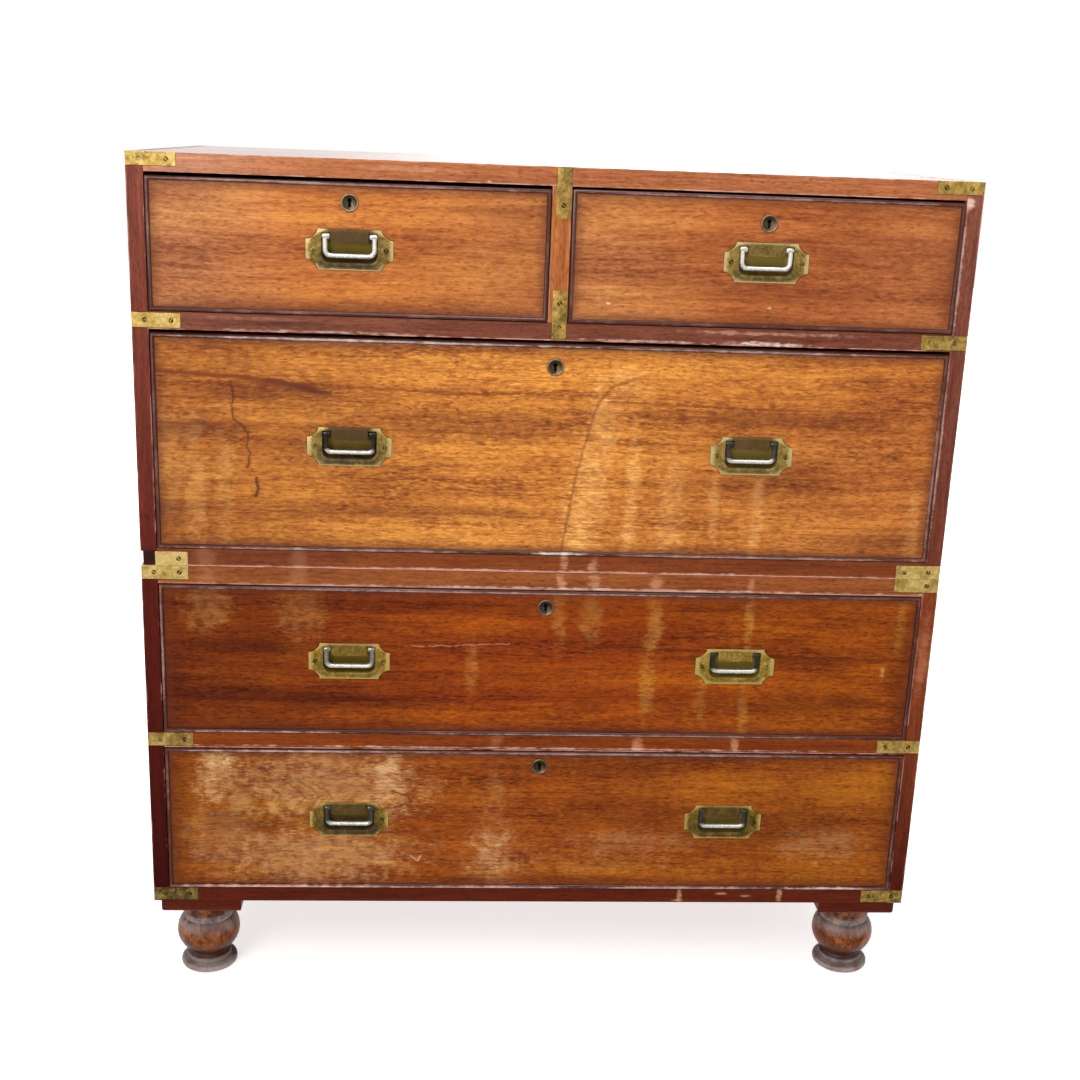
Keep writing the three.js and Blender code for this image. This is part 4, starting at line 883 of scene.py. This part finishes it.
bronze = nozzle_finish()
for drawer in drawer_names:
    low, high = front_boxes[drawer]
    middle_x = (low.x + high.x) / 2
    middle_z = high.z - nozzle_drops[drawer] * mm
    hole_z = middle_z + keyhole_drop / 3
    rings = []
    for radius, outward in nozzle_rings:
        rings.append([(middle_x + radius * mm * math.sin(turn), front_y - outward * mm,
                       middle_z - radius * mm * math.cos(turn)) for turn in turns(nozzle_steps)])
    for grow, outward in keyhole_rings:
        edge = [(turn, keyhole_reach(turn) + grow * mm) for turn in turns(nozzle_steps)]
        rings.append([(middle_x + reach * math.sin(turn), front_y - outward * mm,
                       hole_z - reach * math.cos(turn)) for turn, reach in edge])
    shape = bmesh.new()
    skin(shape, rings)
    fit(f"{drawer}_nozzle", shape, bronze, drawer, crease=50)

# Drawer boxes
# Sides and back of oak, dovetailed together and into the front, round a thin bottom in a groove.
# Bare wood, darkened with use, with lines and flakes in it: the grain runs along each board.
lining = 10 * mm


def oak_finish(drawer):
    finish, tree, place = new_finish("bare oak lining", drawer)
    low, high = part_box(f"{drawer}_box")
    parts = add(tree, "SeparateXYZ", [place]).node.outputs
    is_side = add(tree, "Math", [inside(tree, place, low, high)[0], lining + 0.1 * mm], operation="LESS_THAN")
    turned = add(tree, "CombineXYZ", [parts[1], parts[0], parts[2]])
    lengthwise = add(tree, "Mix", {0: is_side, 4: place, 5: turned}, output=1, data_type="VECTOR")
    grain = bend(tree, lengthwise, 10 * mm, 160 * mm)
    lines = fibres(tree, grain, "X", 150, 3.5, 4.0)
    flakes = fibres(tree, grain, "X", 14, 2, 1.0)
    value = add(tree, "Math", [flakes, 0.3, -0.15], operation="MULTIPLY_ADD")
    value = add(tree, "Math", [lines, value], operation="ADD")
    ramp = add(tree, "ValToRGB", [value], stops=(
        (0.3, linear("#6e4c2a")), (0.75, linear("#bf9a68")), (0.5, linear("#9c7546"))))
    relief = add(tree, "Bump", {"Strength": 0.3, "Distance": 0.2 * mm, "Height": lines})
    cover(tree, ramp, Roughness=0.72, Normal=relief)
    return finish


for drawer in drawer_names:
    dress(f"{drawer}_box", oak_finish(drawer))

# Lock bolts
# A flat steel bolt in each lock, that the key throws up into the rail or board above.
# Drawn steel, brushed lengthways and gone a brownish grey with age.
bolt_arris = 0.4 * mm
steel_finish, steel_tree, steel_place = new_finish("brushed old steel")
brushing = fibres(steel_tree, steel_place, "Z", 20, 0.6, 3.0)
steel_colour = lay(steel_tree, linear("#6a5d52"), (brushing, "#a39c94"))
steel_relief = add(steel_tree, "Bump", {"Strength": 0.2, "Distance": 0.05 * mm, "Height": brushing})
cover(steel_tree, steel_colour, Metallic=1.0, Roughness=0.42, Normal=steel_relief)
for drawer in drawer_names:
    dress(f"{drawer}_bolt", steel_finish, bolt_arris)

# Handle plates
# Cast brass plates let in almost flush: nibbed and scooped corners, a dished cup for the fingers,
# a tongue between the bail's knuckles, and a raised lip round the foot of the cup. Two screws hold each.
plate_half_width = 46.5
plate_half_height = 21.5
plate_nib = 1.6
plate_corner_x = 12.5
plate_corner_z = 11
cup_half_width = 30
cup_top = 17.6
cup_bottom = 14
cup_corner = 9
cup_depth = 13
tongue_half_width = 20.2
tongue_foot = 6.6
plate_front = -0.5
plate_back = 1.5
plate_arris = 0.35
lip_out = 1.8
lip_radius = 2.0
lip_squash = 0.4
lip_y = -0.45
lip_end_y = -0.3
lip_end_z = 2
cup_wall = 1.2
cup_slope = 8
cup_floor_inset = 5
cup_steps = 8
handles = {}
for drawer in drawer_names:
    for place in ("",) if drawer.startswith("top") else ("_left", "_right"):
        handles[drawer + place] = (drawer, drawer.removesuffix("_drawer") + place + "_bail")


def plate_edge():
    """The plate's outline in millimetres: a nib, a scooped corner and a nib, mirrored to all four corners"""
    nib_x, nib_z = plate_half_width - plate_nib, plate_half_height - plate_nib
    foot_x, foot_z = plate_half_width - plate_corner_x, plate_half_height - plate_corner_z
    scoop = curve_points((nib_x, foot_z), (nib_x - 4.6, foot_z + 1.2),
                         (foot_x + 1.4, nib_z - 4.4), (foot_x, nib_z), 8)
    quarter = [(plate_half_width, foot_z)] + scoop + [(foot_x, plate_half_height)]
    upper = quarter + [(-x, z) for x, z in reversed(quarter)]
    return upper + [(-x, -z) for x, z in upper]


def round_corner(x, z, radius, start, steps=6):
    return [(x + radius * math.cos(math.radians(start + 90 * step / steps)),
             z + radius * math.sin(math.radians(start + 90 * step / steps))) for step in range(steps + 1)]


def mouth_edge():
    """The mouth: a notch for each knuckle at the top, the tongue between them and round lower corners"""
    right = round_corner(cup_half_width - cup_corner, cup_corner - cup_bottom, cup_corner, -90)
    right += [(cup_half_width, cup_top), (tongue_half_width, cup_top)]
    right += [(tongue_half_width, tongue_foot + 1), (tongue_half_width - 1, tongue_foot)]
    return right + [(-x, z) for x, z in reversed(right)]


def cup_edge(inset):
    """The cup's outline at one depth, drawn in by inset from its mouth"""
    half, top, bottom = cup_half_width - inset, cup_top - inset, -cup_bottom + inset
    lower, upper = max(cup_corner - inset, 2.5), 2.0
    return (round_corner(half - lower, bottom + lower, lower, -90)
            + round_corner(half - upper, top - upper, upper, 0)
            + round_corner(-half + upper, top - upper, upper, 90)
            + round_corner(-half + lower, bottom + lower, lower, 180))


def sheet_metal(outlines, front, back, edge):
    """A flat plate between two depths, with rounded edges and any holes: its shape, in millimetres"""
    drawing = bpy.data.curves.new("drawing", "CURVE")
    drawing.dimensions = "2D"
    drawing.fill_mode = "BOTH"
    drawing.extrude = (back - front) / 2 - edge
    drawing.bevel_depth = edge
    drawing.bevel_resolution = 2
    drawing.offset = -edge
    for points in outlines:
        spline = drawing.splines.new("POLY")
        spline.points.add(len(points) - 1)
        for point, (x, z) in zip(spline.points, points):
            point.co = (x, z, 0, 1)
        spline.use_cyclic_u = True
    holder = stand("drawing", drawing)
    evaluated = holder.evaluated_get(bpy.context.evaluated_depsgraph_get())
    mesh = bpy.data.meshes.new_from_object(evaluated)
    bpy.data.objects.remove(holder)
    shape = bmesh.new()
    shape.from_mesh(mesh)
    bpy.data.meshes.remove(mesh)
    for point in shape.verts:
        point.co = (point.co.x, (front + back) / 2 - point.co.z, point.co.y)
    return shape


def sweep(shape, route, radius, sides=12, squash=1.0):
    """A rod along a route of (x, y, z) points that keeps close to the front: squash flattens it"""
    rings = []
    for index, (x, y, z) in enumerate(route):
        before = route[max(index - 1, 0)]
        after = route[min(index + 1, len(route) - 1)]
        ahead = Vector((after[0] - before[0], 0, after[2] - before[2])).normalized()
        beside = Vector((ahead.z, 0, -ahead.x))
        rings.append([Vector((x, y, z)) + beside * radius * math.cos(turn)
                      + Vector((0, radius * squash * math.sin(turn), 0)) for turn in turns(sides)])
    skin(shape, rings)


def settle(shape, centre):
    """Takes a shape from millimetres to metres, and to its place"""
    bmesh.ops.scale(shape, vec=(mm, mm, mm), verts=shape.verts)
    bmesh.ops.translate(shape, vec=centre, verts=shape.verts)


def plate_finish(name, centre, shift, tarnish, shade, greasy):
    """Cast brass, dull olive with age: the rim is rubbed yellow, the back of the cup is painted a brighter,
    lit olive, and the tongue and mouth are brown with tarnish and painted shade
    """
    finish, tree, place = new_finish("old cast brass", name)
    local = add(tree, "VectorMath", [place, centre], operation="SUBTRACT")
    seen = add(tree, "VectorMath", [local, shift], operation="ADD")
    clouds = add(tree, "TexNoise", {"Vector": seen, "Scale": 1 / (12 * mm), "Detail": 4.0, "Roughness": 0.65})
    specks = add(tree, "TexNoise", {"Vector": seen, "Scale": 1 / (3 * mm), "Detail": 2.0})
    parts = add(tree, "SeparateXYZ", [local]).node.outputs
    across = add(tree, "Math", [parts[0]], operation="ABSOLUTE")
    upright = add(tree, "Math", [parts[2]], operation="ABSOLUTE")
    side = add(tree, "Math", [across, plate_half_width * mm], operation="DIVIDE")
    end = add(tree, "Math", [upright, plate_half_height * mm], operation="DIVIDE")
    slant = add(tree, "Math", [side, end], operation="ADD")
    slant = add(tree, "Math", [slant, 0.62], operation="MULTIPLY")
    outer = add(tree, "Math", [side, end], operation="MAXIMUM")
    outer = add(tree, "Math", [outer, slant], operation="MAXIMUM")
    rim = add(tree, "MapRange", [outer, 0.84, 1.0], interpolation_type="SMOOTHSTEP")
    value = add(tree, "Math", [rim, 0.55, shade + 0.05 - tarnish * 0.2], operation="MULTIPLY_ADD")
    for noise, share in ((clouds, 0.9), (specks, 0.35)):
        value = add(tree, "Math", [noise, share, value], operation="MULTIPLY_ADD")
    if name.startswith(("middle", "bottom")):
        tones = "#6c551c", "#9a7a28", "#c8ad60"
    else:
        tones = "#6d5828", "#9c803c", "#ccb47a"
    dull, yellow, bright = (linear(tone) for tone in tones)
    ramp = add(tree, "ValToRGB", [value], stops=(
        (0.22, linear("#382a12")), (0.98, bright), (0.45, dull), (0.68, yellow)))
    in_cup = add(tree, "MapRange", [parts[1], 1 * mm, 9 * mm])
    # The tongue and the top of the mouth under it are painted brown: tarnish, with painted shade in the cup
    # under the tongue
    above = add(tree, "MapRange", [parts[2], (tongue_foot - 2) * mm, (tongue_foot + 1) * mm])
    within = add(tree, "MapRange", [across, 22 * mm, 29 * mm, 1.0, 0.0])
    shadowed = add(tree, "Math", [above, within], operation="MULTIPLY")
    # Grease lies round the foot of the cup, in blotches
    grease = greasy
    for lie, start, end, at_start, at_end in (
        (across, (cup_half_width + 1) * mm, (cup_half_width + 7) * mm, 1.0, 0.0),
        (parts[2], -(cup_bottom + 7.2) * mm, -(cup_bottom + 5.8) * mm, 0.0, 1.0),
        (parts[2], 2 * mm, -6 * mm, 0.0, 1.0),
        (clouds, 0.3, 0.6, 1.0, 0.6),
    ):
        share = add(tree, "MapRange", [lie, start, end, at_start, at_end])
        grease = add(tree, "Math", [grease, share], operation="MULTIPLY")
    brown = add(tree, "Math", [shadowed, tarnish], operation="MULTIPLY")
    # Painted light: the back of the cup is painted a brighter olive as lit from above, brighter still on the
    # right-hand plates
    lit_cup_tone = "#86701f" if centre.x < 0 else "#9a833a"
    colour = lay(tree, ramp, (in_cup, lit_cup_tone), (grease, "#392d1e"), (brown, "#46300f"))
    dirty = add(tree, "Math", [brown, grease], operation="MAXIMUM")
    rough = add(tree, "MapRange", [value, 0.2, 0.9, 0.62, 0.36])
    bare = add(tree, "Math", [dirty, -0.4, 0.5], operation="MULTIPLY_ADD")
    relief = add(tree, "Bump", {"Strength": 0.3, "Distance": 0.12 * mm, "Height": clouds})
    cover(tree, colour, Metallic=bare, Roughness=rough, Normal=relief, Specular_IOR_Level=0.25)
    return finish


# How brown each plate's tongue is with tarnish and painted shade, how bright its brass still is, and how
# greasy its foot is
plate_looks = {
    "top_left_drawer": (0.9, 0.02, 1.0),
    "top_right_drawer": (0.4, -0.04, 0.75),
    "deep_drawer_left": (0.95, 0.08, 1.0),
    "deep_drawer_right": (0.9, 0.14, 0.6),
    "middle_drawer_left": (0.5, 0.06, 0.5),
    "middle_drawer_right": (0.2, 0.06, 0.3),
    "bottom_drawer_left": (0.7, -0.08, 1.0),
    "bottom_drawer_right": (0.6, -0.1, 0.5),
}
plate_centres = {}
for index, (handle, (drawer, bail_body)) in enumerate(handles.items()):
    node = f"{handle}_plate"
    low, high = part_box(node)
    centre = Vector(((low.x + high.x) / 2, front_y, (low.z + high.z) / 2))
    plate_centres[handle] = centre
    shape = sheet_metal([plate_edge(), mouth_edge()], plate_front, plate_back, plate_arris)
    lip_corner = round_corner(cup_half_width - cup_corner, cup_corner - cup_bottom,
                              cup_corner + lip_out, -90, 8)
    lip_route = [(x, lip_y, z) for x, z in lip_corner]
    lip_route.append((cup_half_width + lip_out, lip_end_y, lip_end_z))
    lip_route = [(-x, y, z) for x, y, z in reversed(lip_route)] + lip_route
    sweep(shape, lip_route, lip_radius, squash=lip_squash)
    cup_rings = []
    for step in range(cup_steps + 1):
        turn = math.pi / 2 * step / cup_steps
        depth = cup_wall + (cup_depth - cup_wall) * math.sin(turn)
        cup_rings.append((cup_slope * (1 - math.cos(turn)), depth))
    outer_rings = [(inset - cup_wall, depth + (cup_wall if inset > cup_floor_inset else 0.0))
                   for inset, depth in cup_rings]
    skin(shape, [[(x, depth, z) for x, z in cup_edge(inset)]
                 for inset, depth in cup_rings[::-1] + outer_rings])
    settle(shape, centre)
    finish = plate_finish(handle, centre, (0.21 * index, 0, 0.13 * index), *plate_looks[handle])
    fit(f"{handle}_cup_plate", shape, finish, drawer, [node], crease=30)

# Drop bails
# A bent rod of white metal with a barrel knuckle at each end, pinned in the notches of the plate.
# Fingers keep the bar bright, while the arms have gone dark on all but the top drawers.
bail_half_span = 26.4
bail_rod = 5.3
bail_bend = 7
bail_pivot = 14
bail_drop = 20.8
bail_setback = 2.6
knuckle_length = 8.4
knuckle_diameter = 6.4
# Along a knuckle: share of its length, and share of its radius
knuckle_ends = ((0, 0.72), (0.06, 0.9), (0.16, 1.0), (0.84, 1.0), (0.94, 0.9), (1, 0.72))
knuckle_gap = 0.6
pin_radius = 1.4
pin_reach = 2.6
pin_root = 1
rod_sides = 16
knuckle_sides = 20
pin_sides = 12


def bail_finish(name, centre, dark_arms):
    finish, tree, place = new_finish("polished white metal", name)
    wear = add(tree, "TexNoise", {"Vector": place, "Scale": 1 / (6 * mm), "Detail": 4.0, "Roughness": 0.6})
    level = add(tree, "SeparateXYZ", [place], output=2)
    bar_z = centre.z + (bail_pivot - bail_drop) * mm
    up = add(tree, "MapRange", [level, bar_z + 1 * mm, bar_z + 5 * mm])
    dull = add(tree, "Math", [up, dark_arms], operation="MULTIPLY")
    # Painted shade: the underside of the bar is painted dark
    shade_under_bar = add(tree, "MapRange", [level, bar_z - 0.9 * mm, bar_z - 2 * mm, 0.0, 0.85])
    dull = add(tree, "Math", [dull, shade_under_bar], operation="MAXIMUM")
    colour = lay(tree, linear("#ded6cb"), (wear, "#fffaf2"), (dull, "#1b1613"))
    rough = add(tree, "MapRange", [wear, 0.3, 0.7, 0.16, 0.34])
    cover(tree, colour, Metallic=0.6, Roughness=rough)
    return finish


def barrel(shape, radius, places, sides):
    """A round bar along the bail's axis, through places that give x and a share of the radius"""
    skin(shape, [[(x, bail_setback + radius * size * math.cos(turn),
                   bail_pivot + radius * size * math.sin(turn)) for turn in turns(sides)]
                 for x, size in places])


# How dark the arms of each bail have gone
bail_dullness = {
    "top_left_drawer": 0.05,
    "top_right_drawer": 0.05,
    "deep_drawer_left": 0.97,
    "deep_drawer_right": 0.92,
    "middle_drawer_left": 0.6,
    "middle_drawer_right": 0.95,
    "bottom_drawer_left": 0.9,
    "bottom_drawer_right": 0.92,
}
for handle, (drawer, bail_body) in handles.items():
    centre = plate_centres[handle]
    bar = bail_pivot - bail_drop
    corner = round_corner(bail_half_span - bail_bend, bar + bail_bend, bail_bend, -90)
    right = [(x, bail_setback, z) for x, z in corner + [(bail_half_span, bail_pivot)]]
    shape = bmesh.new()
    sweep(shape, [(-x, y, z) for x, y, z in reversed(right)] + right, bail_rod / 2, rod_sides)
    for sign in (-1, 1):
        outer = sign * (cup_half_width - knuckle_gap)
        inner = outer - sign * knuckle_length
        knuckle = [(outer + (inner - outer) * share, size) for share, size in knuckle_ends]
        pin = [(outer - sign * pin_root, 1), (sign * (cup_half_width + pin_reach), 1)]
        barrel(shape, knuckle_diameter / 2, knuckle, knuckle_sides)
        barrel(shape, pin_radius, pin, pin_sides)
    settle(shape, centre)
    finish = bail_finish(handle, centre, bail_dullness[handle])
    fit(f"{handle}_drop_bail", shape, finish, bail_body, [f"{handle}_bail"], crease=45)

# Brass straps
# Sheet brass let in flush over the corner joints and the ends of the partition, and screwed down.
# Some are rubbed bright yellow and others have gone a dull olive, with dark stains in blotches.
strap_front = -0.15
strap_back = 1.6
strap_arris = 0.3
strap_places = ("bottom_corner", "lower_rail", "lower_top", "upper_bottom", "upper_rail", "top_corner")
# How bright each strap is, and how much dark staining lies on it
strap_looks = {
    "bottom_corner_left": (-0.16, 0.9),
    "lower_rail_left": (0.12, 0.4),
    "lower_top_left": (0.36, 0.4),
    "upper_bottom_left": (0.48, 0.2),
    "upper_rail_left": (0.24, 0.25),
    "top_corner_left": (0.22, 0.6),
    "bottom_corner_right": (0.1, 0.7),
    "lower_rail_right": (0.24, 0.5),
    "lower_top_right": (0.3, 0.35),
    "upper_bottom_right": (0.37, 0.4),
    "upper_rail_right": (0.06, 0.5),
    "top_corner_right": (0.1, 0.4),
    "partition_top": (0.04, 0.3),
    "partition_low": (0.06, 0.4),
}


def strap_finish(name, shift, shine, stained):
    finish, tree, place = new_finish("rolled brass", name)
    seen = add(tree, "VectorMath", [place, shift], operation="ADD")
    clouds = add(tree, "TexNoise", {"Vector": seen, "Scale": 1 / (14 * mm), "Detail": 4.0, "Roughness": 0.65})
    marks = add(tree, "TexNoise", {"Vector": seen, "Scale": 1 / (3.5 * mm), "Detail": 3.0, "Roughness": 0.7})
    value = add(tree, "Math", [clouds, 1.0, shine - 0.22], operation="MULTIPLY_ADD")
    value = add(tree, "Math", [marks, 0.45, value], operation="MULTIPLY_ADD")
    ramp = add(tree, "ValToRGB", [value], stops=(
        (0.2, linear("#4a3714")), (1.0, linear("#eccd80")),
        (0.45, linear("#8a7031")), (0.68, linear("#bf9a48"))))
    stains = add(tree, "TexNoise", {"Vector": seen, "Scale": 1 / (9 * mm), "Detail": 3.0, "Roughness": 0.6})
    stain = add(tree, "MapRange", [stains, 0.48, 0.66, 0.0, stained])
    rough = add(tree, "MapRange", [value, 0.2, 0.95, 0.58, 0.3])
    relief = add(tree, "Bump", {"Strength": 0.25, "Distance": 0.1 * mm, "Height": marks})
    cover(tree, lay(tree, ramp, (stain, "#3c3014")), Metallic=0.5, Roughness=rough, Normal=relief)
    return finish


strap_finishes = {name: strap_finish(name, (0.17 * index, 0.05 * index, 0.31 * index), shine, stained)
                  for index, (name, (shine, stained)) in enumerate(strap_looks.items())}
for place in strap_places:
    for side in ("left", "right"):
        dress(f"{place}_{side}_strap", strap_finishes[f"{place}_{side}"], strap_arris * mm)
partition_low_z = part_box("upper_drawer_rail")[0].z
chest_top_z = cad_box[1][2]
partition_strap_reach = 54 * mm
partition_strap_x = 2
partition_strap_half = 8
# Foot and head of each, which stops just short of the top of the chest or the foot of the partition
partition_straps = {
    "partition_top": (chest_top_z - partition_strap_reach, chest_top_z - 0.8 * mm),
    "partition_low": (partition_low_z + 0.2 * mm, partition_low_z + partition_strap_reach),
}
for name, (foot_z, head_z) in partition_straps.items():
    xs = (partition_strap_x - partition_strap_half, partition_strap_x + partition_strap_half)
    outline = [(xs[1], foot_z / mm), (xs[1], head_z / mm), (xs[0], head_z / mm), (xs[0], foot_z / mm)]
    shape = sheet_metal([outline], strap_front, strap_back, strap_arris)
    settle(shape, (0, front_y, 0))
    fit(f"{name}_strap", shape, strap_finishes[name], "upper_chest", crease=30)

# Screws
# Slotted countersunk brass screws: one or two in each leg of a strap, and two in each handle plate.
# Their heads lie flush, each slot at its own angle and dark with old polish.
screw_diameter = 5.4 * mm
screw_depth = 0.8 * mm
screw_slot = 0.9 * mm
slot_cutter = 0.7 * mm
# How far the middle of a head lies behind the front, or behind the side
strap_screw_sunk = 0.3 * mm
partition_screw_sunk = 0.15 * mm
plate_screw_sunk = -0.22 * mm


def screw_tree():
    tree = bpy.data.node_groups.new("screws", "GeometryNodeTree")
    for name, kind, direction in (
        ("Places", "Geometry", "INPUT"), ("Diameter", "Float", "INPUT"), ("Slot", "Float", "INPUT"),
        ("Finish", "Material", "INPUT"), ("Screws", "Geometry", "OUTPUT"),
    ):
        tree.interface.new_socket(name, in_out=direction, socket_type=f"NodeSocket{kind}")
    given = add(tree, "NodeGroupInput").node.outputs
    radius = add(tree, "Math", [given["Diameter"], 0.5], operation="MULTIPLY")
    head = add(tree, "GeometryNodeMeshCylinder", {"Vertices": 20, "Radius": radius, "Depth": screw_depth})
    wide = add(tree, "Math", [given["Diameter"], 1.4], operation="MULTIPLY")
    slot_size = add(tree, "CombineXYZ", [wide, given["Slot"], slot_cutter])
    slot = add(tree, "GeometryNodeMeshCube", {"Size": slot_size})
    raised = add(tree, "GeometryNodeTransform",
                 {"Geometry": slot, "Translation": (0, 0, screw_depth / 2)})
    slotted = add(tree, "GeometryNodeMeshBoolean", {0: head, 1: raised}, operation="DIFFERENCE")
    facing = add(tree, "GeometryNodeInputNamedAttribute", {"Name": "facing"}, data_type="FLOAT_VECTOR")
    outward = add(tree, "FunctionNodeAlignRotationToVector", {"Vector": facing}, axis="Z")
    turn = add(tree, "FunctionNodeRandomValue", {"Min": 0.0, "Max": math.pi, "Seed": 7}, output=1)
    spin = add(tree, "CombineXYZ", {2: turn})
    twist = add(tree, "FunctionNodeEulerToRotation", {0: spin})
    laid = add(tree, "FunctionNodeRotateRotation", {0: outward, 1: twist}, rotation_space="LOCAL")
    points = add(tree, "GeometryNodeMeshToPoints", {"Mesh": given["Places"]})
    placed = add(tree, "GeometryNodeInstanceOnPoints",
                 {"Points": points, "Instance": slotted, "Rotation": laid})
    real = add(tree, "GeometryNodeRealizeInstances", {"Geometry": placed})
    done = add(tree, "GeometryNodeSetMaterial", {"Geometry": real, "Material": given["Finish"]})
    add(tree, "NodeGroupOutput", {0: done})
    return tree


screw_finish, screw_nodes, screw_place = new_finish("brass screw, dark with old polish")
screw_noise = add(screw_nodes, "TexNoise", {"Vector": screw_place, "Scale": 1 / (9 * mm), "Detail": 3.0})
screw_ramp = add(screw_nodes, "ValToRGB", [screw_noise], stops=(
    (0.4, linear("#3a2e17")), (0.7, linear("#cdb265")), (0.56, linear("#75632f"))))
cover(screw_nodes, screw_ramp, Metallic=0.85, Roughness=0.5)

screw_layout = screw_tree()
strap_outer = cad_box[1][0]
screw_places = {}
front_leg_screws = (14 * mm, 42 * mm)
side_leg_screws = (14 * mm, 40 * mm)
partition_screws = (14 * mm, 40 * mm)
plate_screw_x = 38.8 * mm
for place in strap_places:
    for side, sign in (("left", -1), ("right", 1)):
        low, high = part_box(f"{place}_{side}_strap")
        body = "upper_chest" if place in ("top_corner", "upper_rail", "upper_bottom") else "lower_chest"
        spots = screw_places.setdefault(body, [])
        middle_z = (low.z + high.z) / 2
        broken_end = place == "upper_bottom" and side == "left"
        for inset in front_leg_screws[1:] if broken_end else front_leg_screws:
            spots.append(((sign * (strap_outer - inset), front_y + strap_screw_sunk, middle_z), (0, -1, 0)))
        for inset in side_leg_screws:
            if high.y - low.y > inset:
                spot_x = sign * (strap_outer - strap_screw_sunk)
                spots.append(((spot_x, front_y + inset, middle_z), (sign, 0, 0)))
for foot_z, head_z in partition_straps.values():
    for inset in partition_screws:
        spot = (partition_strap_x * mm, front_y + partition_screw_sunk, foot_z + inset)
        screw_places["upper_chest"].append((spot, (0, -1, 0)))
for handle, (drawer, bail_body) in handles.items():
    for sign in (-1, 1):
        spot = plate_centres[handle] + Vector((sign * plate_screw_x, plate_screw_sunk, 0))
        screw_places.setdefault(drawer, []).append((tuple(spot), (0, -1, 0)))
for body, spots in screw_places.items():
    cloud = bpy.data.meshes.new("screw places")
    cloud.from_pydata([spot for spot, facing in spots], [], [])
    facings = cloud.attributes.new("facing", "FLOAT_VECTOR", "POINT")
    for index, (spot, facing) in enumerate(spots):
        facings.data[index].vector = facing
    holder = stand("screw places", cloud)
    layout = holder.modifiers.new("screws", "NODES")
    layout.node_group = screw_layout
    values = {"Diameter": screw_diameter, "Slot": screw_slot, "Finish": screw_finish}
    for socket in screw_layout.interface.items_tree:
        if socket.name in values:
            layout[socket.identifier] = values[socket.name]
    evaluated = holder.evaluated_get(bpy.context.evaluated_depsgraph_get())
    made = bpy.data.meshes.new_from_object(evaluated)
    made.name = f"{body}_screws"
    bpy.data.objects.remove(holder)
    screws = stand(f"{body}_screws", made)
    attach(screws, body)
